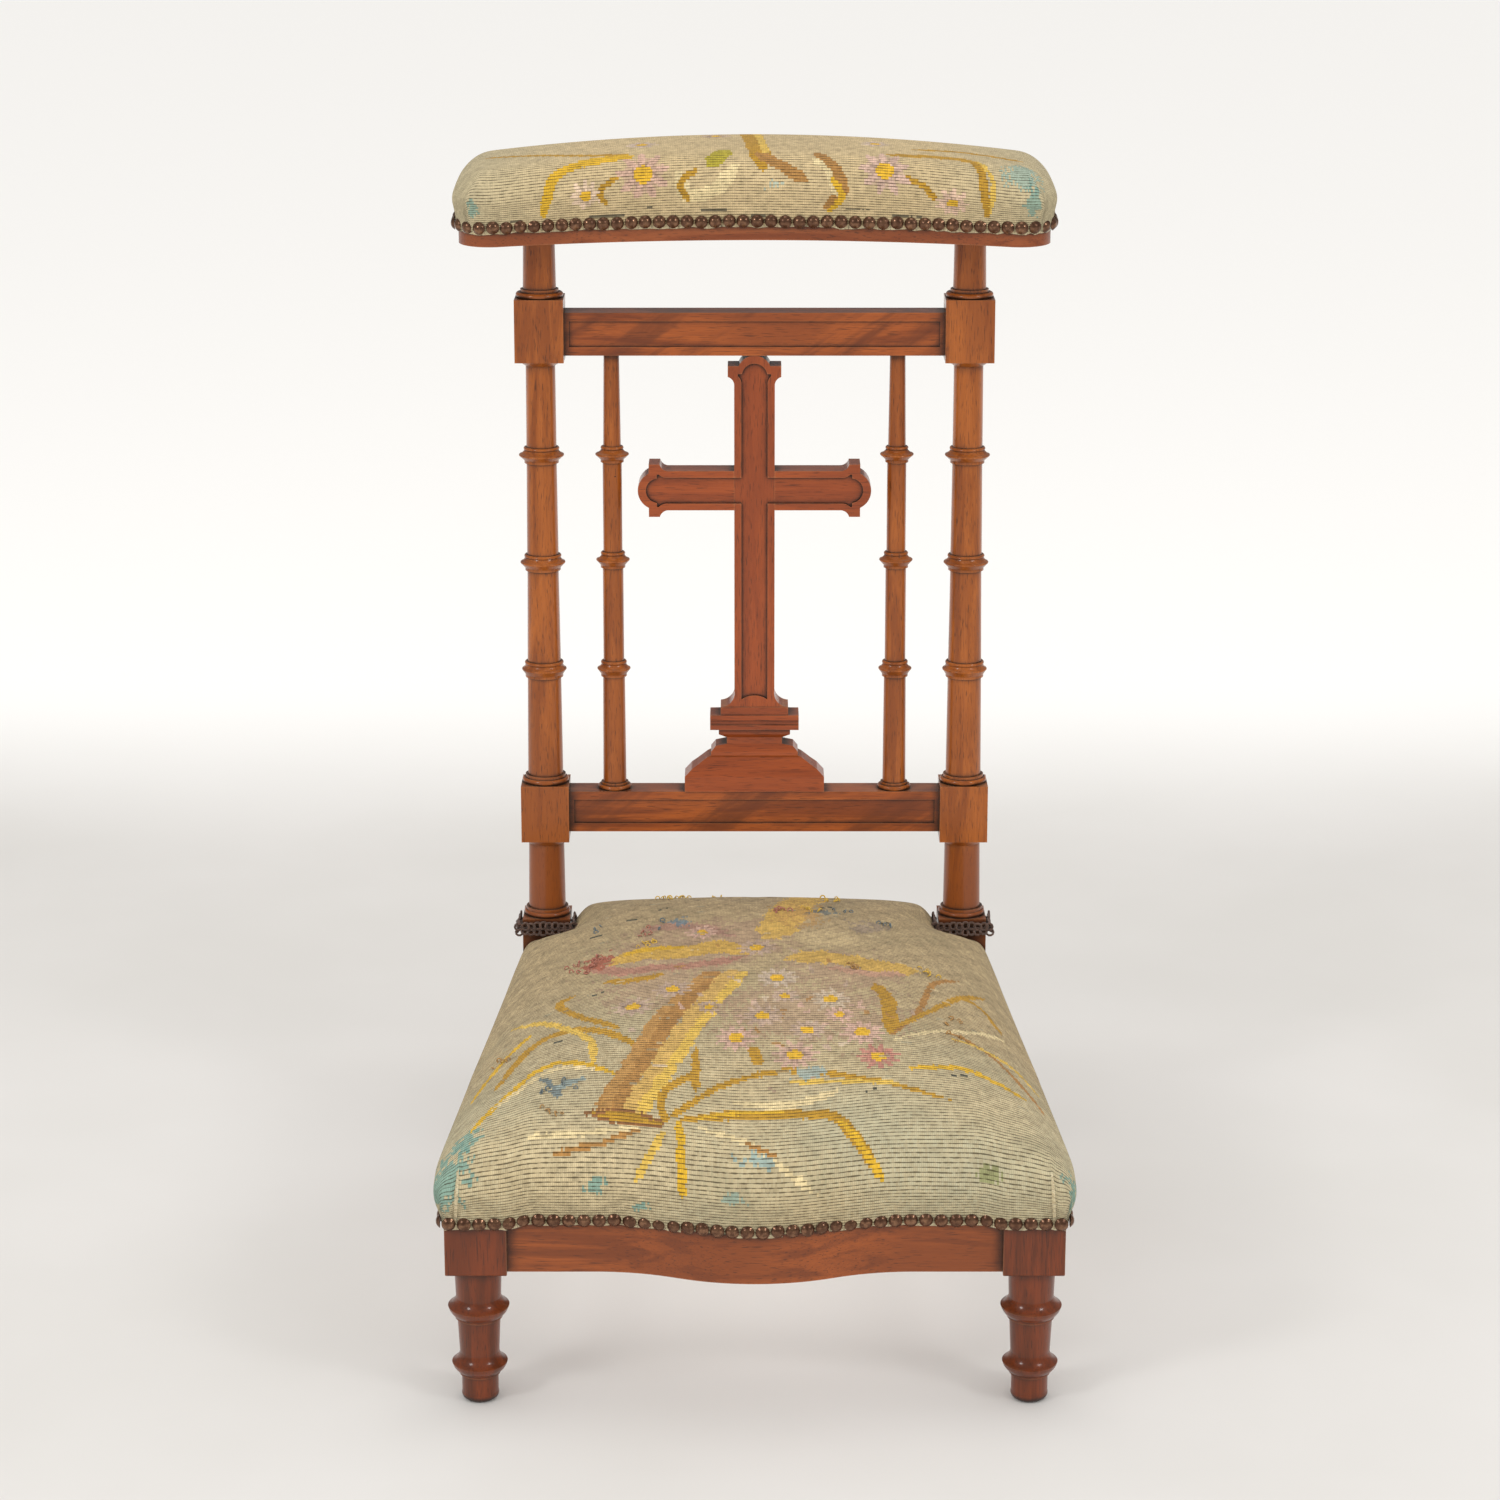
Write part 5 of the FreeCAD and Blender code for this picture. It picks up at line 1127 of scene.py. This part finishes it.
def needlepoint(name, row, gap):
    """Wool stitches coloured by the mesh's own attribute."""
    made, wiring, shader = new_material(name)
    cloth_map = wiring.add("UVMap", uv_map="cloth").outputs[0]
    wool = wiring.add("Attribute", attribute_name="wool").outputs["Color"]
    ribs = place_group(wiring, rib_group, Vector=cloth_map, Row=row, Stitch=STITCH, Gap=gap)
    marks = place_group(
        wiring, age_group, Vector=wiring.add("TexCoord").outputs["Object"], Reach=10 * MM, Grime=0.8, Wear=0.0
    )
    base = wiring.mix(wiring.ramp(ribs["Fuzz"], 0.25, 0.75, 0.0, 0.06), wool, colour(0.80, 0.70, 0.48))
    dark = wiring.mix(0.88, base, colour(0.045, 0.034, 0.018))
    base = wiring.mix(wiring.math("MULTIPLY", ribs["Gap"], 0.92), base, dark)
    base = wiring.mix(wiring.math("MULTIPLY", marks["Grime"], 0.45), base, colour(0.10, 0.075, 0.045))
    wiring.feed(shader.inputs["Base Color"], base)
    shader.inputs["Roughness"].default_value = 0.92
    shader.inputs["Sheen Weight"].default_value = 0.05
    shader.inputs["Sheen Roughness"].default_value = 0.5
    shader.inputs["Specular IOR Level"].default_value = 0.1
    bump = wiring.add("Bump")
    bump.inputs["Distance"].default_value = 0.55 * MM
    bump.inputs["Strength"].default_value = 0.8
    wiring.feed(bump.inputs["Height"], ribs["Height"])
    wiring.feed(shader.inputs["Normal"], bump.outputs[0])
    return made


def dress(piece, material, replaced):
    """The last steps for a finished piece: its material, its body, and hiding the CAD parts that it replaces."""
    piece.data.materials.clear()
    piece.data.materials.append(material)
    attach(piece, "root")
    if replaced:
        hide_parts(*replaced)
    return piece


dress(seat_piece, needlepoint("needlepoint_seat_wool", ROW, 0.42), ["seat_cover"])
dress(elbow_piece, needlepoint("needlepoint_elbow_wool", PAD_ROW, 0.42), ["elbow_cover"])
for name, layers in (("seat", seat_layers), ("elbow", elbow_layers)):
    dress(layers[0], calico, [name + "_calico"])
    dress(layers[1], hair, [name + "_stuffing"])
print("covers dressed")

# %% [markdown]
# ## Nails
# Close-set domed nails hold the covers. Each head is a dome with a thin rim, turned from a few points, and
# set where the frame has its nail: the CAD node is one loose shell per nail, so its islands give the places.


# %% Nails
def islands(node):
    """The middle and the outward direction of each nail in a CAD node."""
    mesh = bmesh.new()
    mesh.from_mesh(nodes[node].data)
    bmesh.ops.remove_doubles(mesh, verts=mesh.verts, dist=0.02 * MM)
    left, found = set(mesh.verts), []
    while left:
        stack, group = [left.pop()], []
        while stack:
            vert = stack.pop()
            group.append(vert.co.copy())
            for one in vert.link_edges:
                other = one.other_vert(vert)
                if other in left:
                    left.remove(other)
                    stack.append(other)
        found.append(group)
    mesh.free()
    places = []
    for group in found:
        points = np.array(group)
        flattest = np.linalg.svd(points - points.mean(axis=0))[2][2]
        centre = (points.min(axis=0) + points.max(axis=0)) / 2
        places.append((Vector(centre), Vector(flattest)))
    return places


def nail_dome():
    """One nail head, as a small bmesh about the origin with its flat back at z = 0."""
    mesh = bmesh.new()
    crown = [(0.0, 2.9), (1.5, 2.72), (2.9, 2.15), (3.9, 1.35), (4.45, 0.62)]
    rim = [(4.85, 0.42), (4.85, 0.0), (0.0, 0.0)]
    verts = [mesh.verts.new((radius * MM, 0, height * MM)) for radius, height in crown + rim]
    edges = [mesh.edges.new(pair) for pair in zip(verts, verts[1:])]
    bmesh.ops.spin(mesh, geom=verts + edges, axis=(0, 0, 1), angle=math.tau, steps=14, use_merge=True)
    bmesh.ops.remove_doubles(mesh, verts=mesh.verts, dist=0.01 * MM)
    bmesh.ops.recalc_face_normals(mesh, faces=mesh.faces)
    return mesh


def copy_into(target, source, matrix):
    """Adds a moved copy of one bmesh to another."""
    made = {vert: target.verts.new(matrix @ vert.co) for vert in source.verts}
    for face in source.faces:
        target.faces.new([made[vert] for vert in face.verts])


NAIL_SIZE = 1.04
RUBBED, TARNISHED = colour(0.27, 0.14, 0.078), colour(0.11, 0.05, 0.028)
bronze = old_metal("bronze_nails", RUBBED, TARNISHED, metallic=0.7, rough=0.25)
dome = nail_dome()
uneven = np.random.default_rng(5)
nail_places = {}
NAIL_ROWS = ["seat_nails_" + side for side in ("front", "left", "right", "rear")]
NAIL_ROWS += ["elbow_nails_front", "elbow_nails_back"]
for row in NAIL_ROWS:
    mesh = bmesh.new()
    nail_places[row] = islands(row)
    for place, outward in nail_places[row]:
        hub = Vector((0, 0.06, place.z)) if row.startswith("seat") else Vector((place.x * 0.8, 0.205, place.z))
        if outward.dot(place - hub) < 0:
            outward = -outward
        back = place - outward * 0.4 * MM
        tilt = Vector(uneven.normal(0, 0.05, 3))
        turn = (outward + tilt).to_track_quat("Z", "Y").to_matrix().to_4x4()
        shift = Vector((0, 0, uneven.normal(0, 0.25) * MM))
        size = Matrix.Scale(NAIL_SIZE + uneven.normal(0, 0.012), 4)
        copy_into(mesh, dome, Matrix.Translation(back + shift) @ turn @ size)
    piece = mesh_piece(row + "_domes", mesh)
    dress(piece, bronze, [row])
dome.free()
print("nails:", {row: len(places) for row, places in nail_places.items()})

# %% [markdown]
# ## Braid round the posts
# A dark brown gimp hides the cut edge of the cover under each post's collar. Its scalloped edge is made of
# small cord loops in two rows, one above the other, that follow the frame's braid round three sides.

# %% Gimp
GIMP_PALE, GIMP_DEEP = colour(0.17, 0.085, 0.055), colour(0.075, 0.036, 0.024)
braid_wool = woven("gimp_brown", GIMP_PALE, GIMP_DEEP, 0.8 * MM, gap=0.3, rough=0.8)


def ring(radius, thick, around=10, across=6):
    """A small closed loop of cord."""
    mesh = bmesh.new()
    made = bmesh.ops.create_circle(mesh, segments=across, radius=thick)
    matrix = Matrix.Translation((radius, 0, 0)) @ Matrix.Rotation(math.pi / 2, 4, "X")
    bmesh.ops.transform(mesh, matrix=matrix, verts=made["verts"])
    section = mesh.verts[:] + mesh.edges[:]
    bmesh.ops.spin(mesh, geom=section, axis=(0, 0, 1), angle=math.tau, steps=around, use_merge=True)
    bmesh.ops.recalc_face_normals(mesh, faces=mesh.faces)
    return mesh


loop_of_cord = ring(2.9 * MM, 0.9 * MM)
for side in ("left", "right"):
    low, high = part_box("post_gimp_" + side)
    sign = -1 if side == "left" else 1
    mesh = bmesh.new()
    walk = np.random.default_rng(3)
    route = []
    outer, inner = (low.x, high.x) if sign < 0 else (high.x, low.x)
    for step in range(5):
        route.append((Vector((outer, high.y - 2 * MM - (high.y - low.y) * step / 5, 0)), Vector((sign, 0, 0))))
    for step in range(10):
        route.append((Vector((outer + (inner - outer) * step / 9, low.y, 0)), Vector((0, -1, 0))))
    for step in range(5):
        route.append((Vector((inner, low.y + (high.y - low.y) * (step + 1) / 6, 0)), Vector((-sign, 0, 0))))
    for place, away in route:
        for level, lean in ((high.z - 2.2 * MM, 0.1), (high.z - 6.4 * MM, 0.9)):
            spot = place + Vector((0, 0, level)) + Vector(walk.normal(0, 0.3, 3)) * MM
            facing = away + Vector((0, 0, lean)) + Vector(walk.normal(0, 0.15, 3))
            turn = facing.to_track_quat("Z", "Y").to_matrix().to_4x4()
            copy_into(mesh, loop_of_cord, Matrix.Translation(spot + away * 0.3 * MM) @ turn)
    piece = mesh_piece("post_gimp_loops_" + side, mesh)
    dress(piece, braid_wool, ["post_gimp_" + side])
loop_of_cord.free()
print("gimp made")

# %% [markdown]
# ## Loose wool
# Where the stitches have broken, short ends of wool curl up. Each is part of a small ring of yarn, so a
# tuft is a few of them, turned every way, set on the cushion where its surface is.

# %% Tufts
ABOVE_SEAT = 0.4
yarn = ring(2.0 * MM, 0.55 * MM, around=9, across=5)


def tufts(name, tint, spots, seed, each=6, spread=5.0):
    """Curls of broken wool on the seat, round each given place in the cloth."""
    shuffle = np.random.default_rng(seed)
    mesh = bmesh.new()
    for x, y in spots:
        for _ in range(each):
            step = shuffle.normal(0, spread, 2)
            above = Vector(((x + step[0]) * MM, (y + step[1]) * MM, ABOVE_SEAT))
            hit, place, normal, _ = seat_piece.ray_cast(above, Vector((0, 0, -1)))
            if not hit:
                continue
            turn = Vector(shuffle.normal(0, 1, 3)).to_track_quat("Z", "Y").to_matrix().to_4x4()
            size = Matrix.Scale(0.6 + 0.5 * shuffle.random(), 4)
            copy_into(mesh, yarn, Matrix.Translation(place + normal * 0.6 * MM) @ turn @ size)
    piece = mesh_piece(name, mesh)
    made, wiring, shader = new_material(name + "_wool")
    place = wiring.add("TexCoord").outputs["Object"]
    fluff = wiring.noise(place, 1500.0, detail=3.0)
    shaded = colour(*[part * 0.6 for part in tint])
    wiring.feed(shader.inputs["Base Color"], wiring.mix(wiring.ramp(fluff, 0.3, 0.7), shaded, colour(*tint)))
    shader.inputs["Roughness"].default_value = 0.95
    shader.inputs["Sheen Weight"].default_value = 0.3
    dress(piece, made, [])
    print(name, len(piece.data.polygons), "faces")


gold_spots = [(-54, 160), (-30, 166), (-66, 156), (62, 140), (132, 4), (-84, 38), (48, 110)]
tan_spots = [(76, -12), (152, -120), (150, -84), (-190, -124), (-144, -222)]
salmon_spots = [(-134, 22), (-126, 4), (-120, 24), (-84, 62), (20, 104)]
slate_spots = [(-150, -200), (-136, -190), (66, 112), (102, 84), (-66, 78), (-120, 92)]
tufts("tufts_gold", (0.72, 0.46, 0.05), gold_spots, 1)
tufts("tufts_tan", (0.46, 0.25, 0.07), tan_spots, 2, each=5)
tufts("tufts_salmon", (0.46, 0.17, 0.11), salmon_spots, 3)
tufts("tufts_slate", (0.13, 0.17, 0.18), slate_spots, 4, each=3)
yarn.free()

# %% [markdown]
# ## Floor, light and camera
# A pale studio floor, a soft light at each side, one low in front and one above, and a white room round them.
# A small hidden lamp under the seat stands in for the light that a pale floor throws back into its shadow.
# The camera looks down at the front by 17.5 degrees, with a long lens.

# %% Stage
mesh = bmesh.new()
bmesh.ops.create_grid(mesh, x_segments=1, y_segments=1, size=14.0)
floor = mesh_piece("studio_floor", mesh, smooth=False)
floor_finish, wiring, shader = new_material("studio_floor_paint")
place = wiring.add("TexCoord").outputs["Object"]
split = wiring.add("SeparateXYZ")
wiring.feed(split.inputs[0], place)
distance = wiring.ramp(split.outputs["Y"], 0.9, 1.6)
blotches = wiring.noise(place, 2.2, detail=4.0)
near_floor = wiring.mix(wiring.ramp(blotches, 0.3, 0.7), colour(0.66, 0.645, 0.62), colour(0.70, 0.685, 0.665))
wiring.feed(shader.inputs["Base Color"], wiring.mix(distance, near_floor, colour(0.97, 0.965, 0.95)))
shader.inputs["Roughness"].default_value = 0.6
shader.inputs["Specular IOR Level"].default_value = 0.2
floor.data.materials.append(floor_finish)


def soft_light(name, place, aim, size, power):
    """A large square light that points at a place."""
    lamp = bpy.data.lights.new(name, "AREA")
    lamp.shape = "SQUARE"
    lamp.size = size
    lamp.energy = power
    holder = bpy.data.objects.new(name, lamp)
    holder.location = place
    holder.rotation_euler = (Vector(aim) - Vector(place)).to_track_quat("-Z", "Y").to_euler()
    bpy.context.scene.collection.objects.link(holder)
    return holder


soft_light("light_left", (-2.0, -1.9, 2.0), (0, 0, 0.4), 0.6, 17)
soft_light("light_right", (2.0, -1.7, 2.1), (0, 0, 0.4), 0.6, 14)
soft_light("light_low", (0.0, -2.7, 0.32), (0, 0, 0.1), 1.5, 7).visible_glossy = False
bounce = soft_light("light_under", (0.0, -0.02, 0.125), (0.0, -0.02, 0.0), 0.34, 0.45)
bounce.visible_camera = bounce.visible_glossy = False
soft_light("light_over", (0.0, 0.1, 3.0), (0, 0, 0.2), 1.2, 8)
room = bpy.data.worlds.new("white_room")
room.use_nodes = True
wiring = Wiring(room.node_tree)
sky = room.node_tree.nodes["Background"]
sky.inputs["Color"].default_value = colour(1.0, 0.985, 0.965)
glossy = wiring.add("LightPath").outputs["Is Glossy Ray"]
wiring.feed(sky.inputs["Strength"], wiring.math("MULTIPLY_ADD", glossy, -0.78, 1.02))
bpy.context.scene.world = room

camera = bpy.data.cameras.new("camera")
EYE_BACK, EYE_HEIGHT, EYE_DOWN = 2.682, 1.335, 17.5
camera.lens = 98.3
camera.sensor_width = 36.0
camera.clip_end = 60.0
eye = bpy.data.objects.new("camera", camera)
eye.location = (-3.5 * MM, leg_line - EYE_BACK, EYE_HEIGHT)
eye.rotation_euler = (math.radians(90 - EYE_DOWN), 0, 0)
bpy.context.scene.collection.objects.link(eye)
bpy.context.scene.camera = eye
bpy.context.scene.view_settings.view_transform = "Standard"
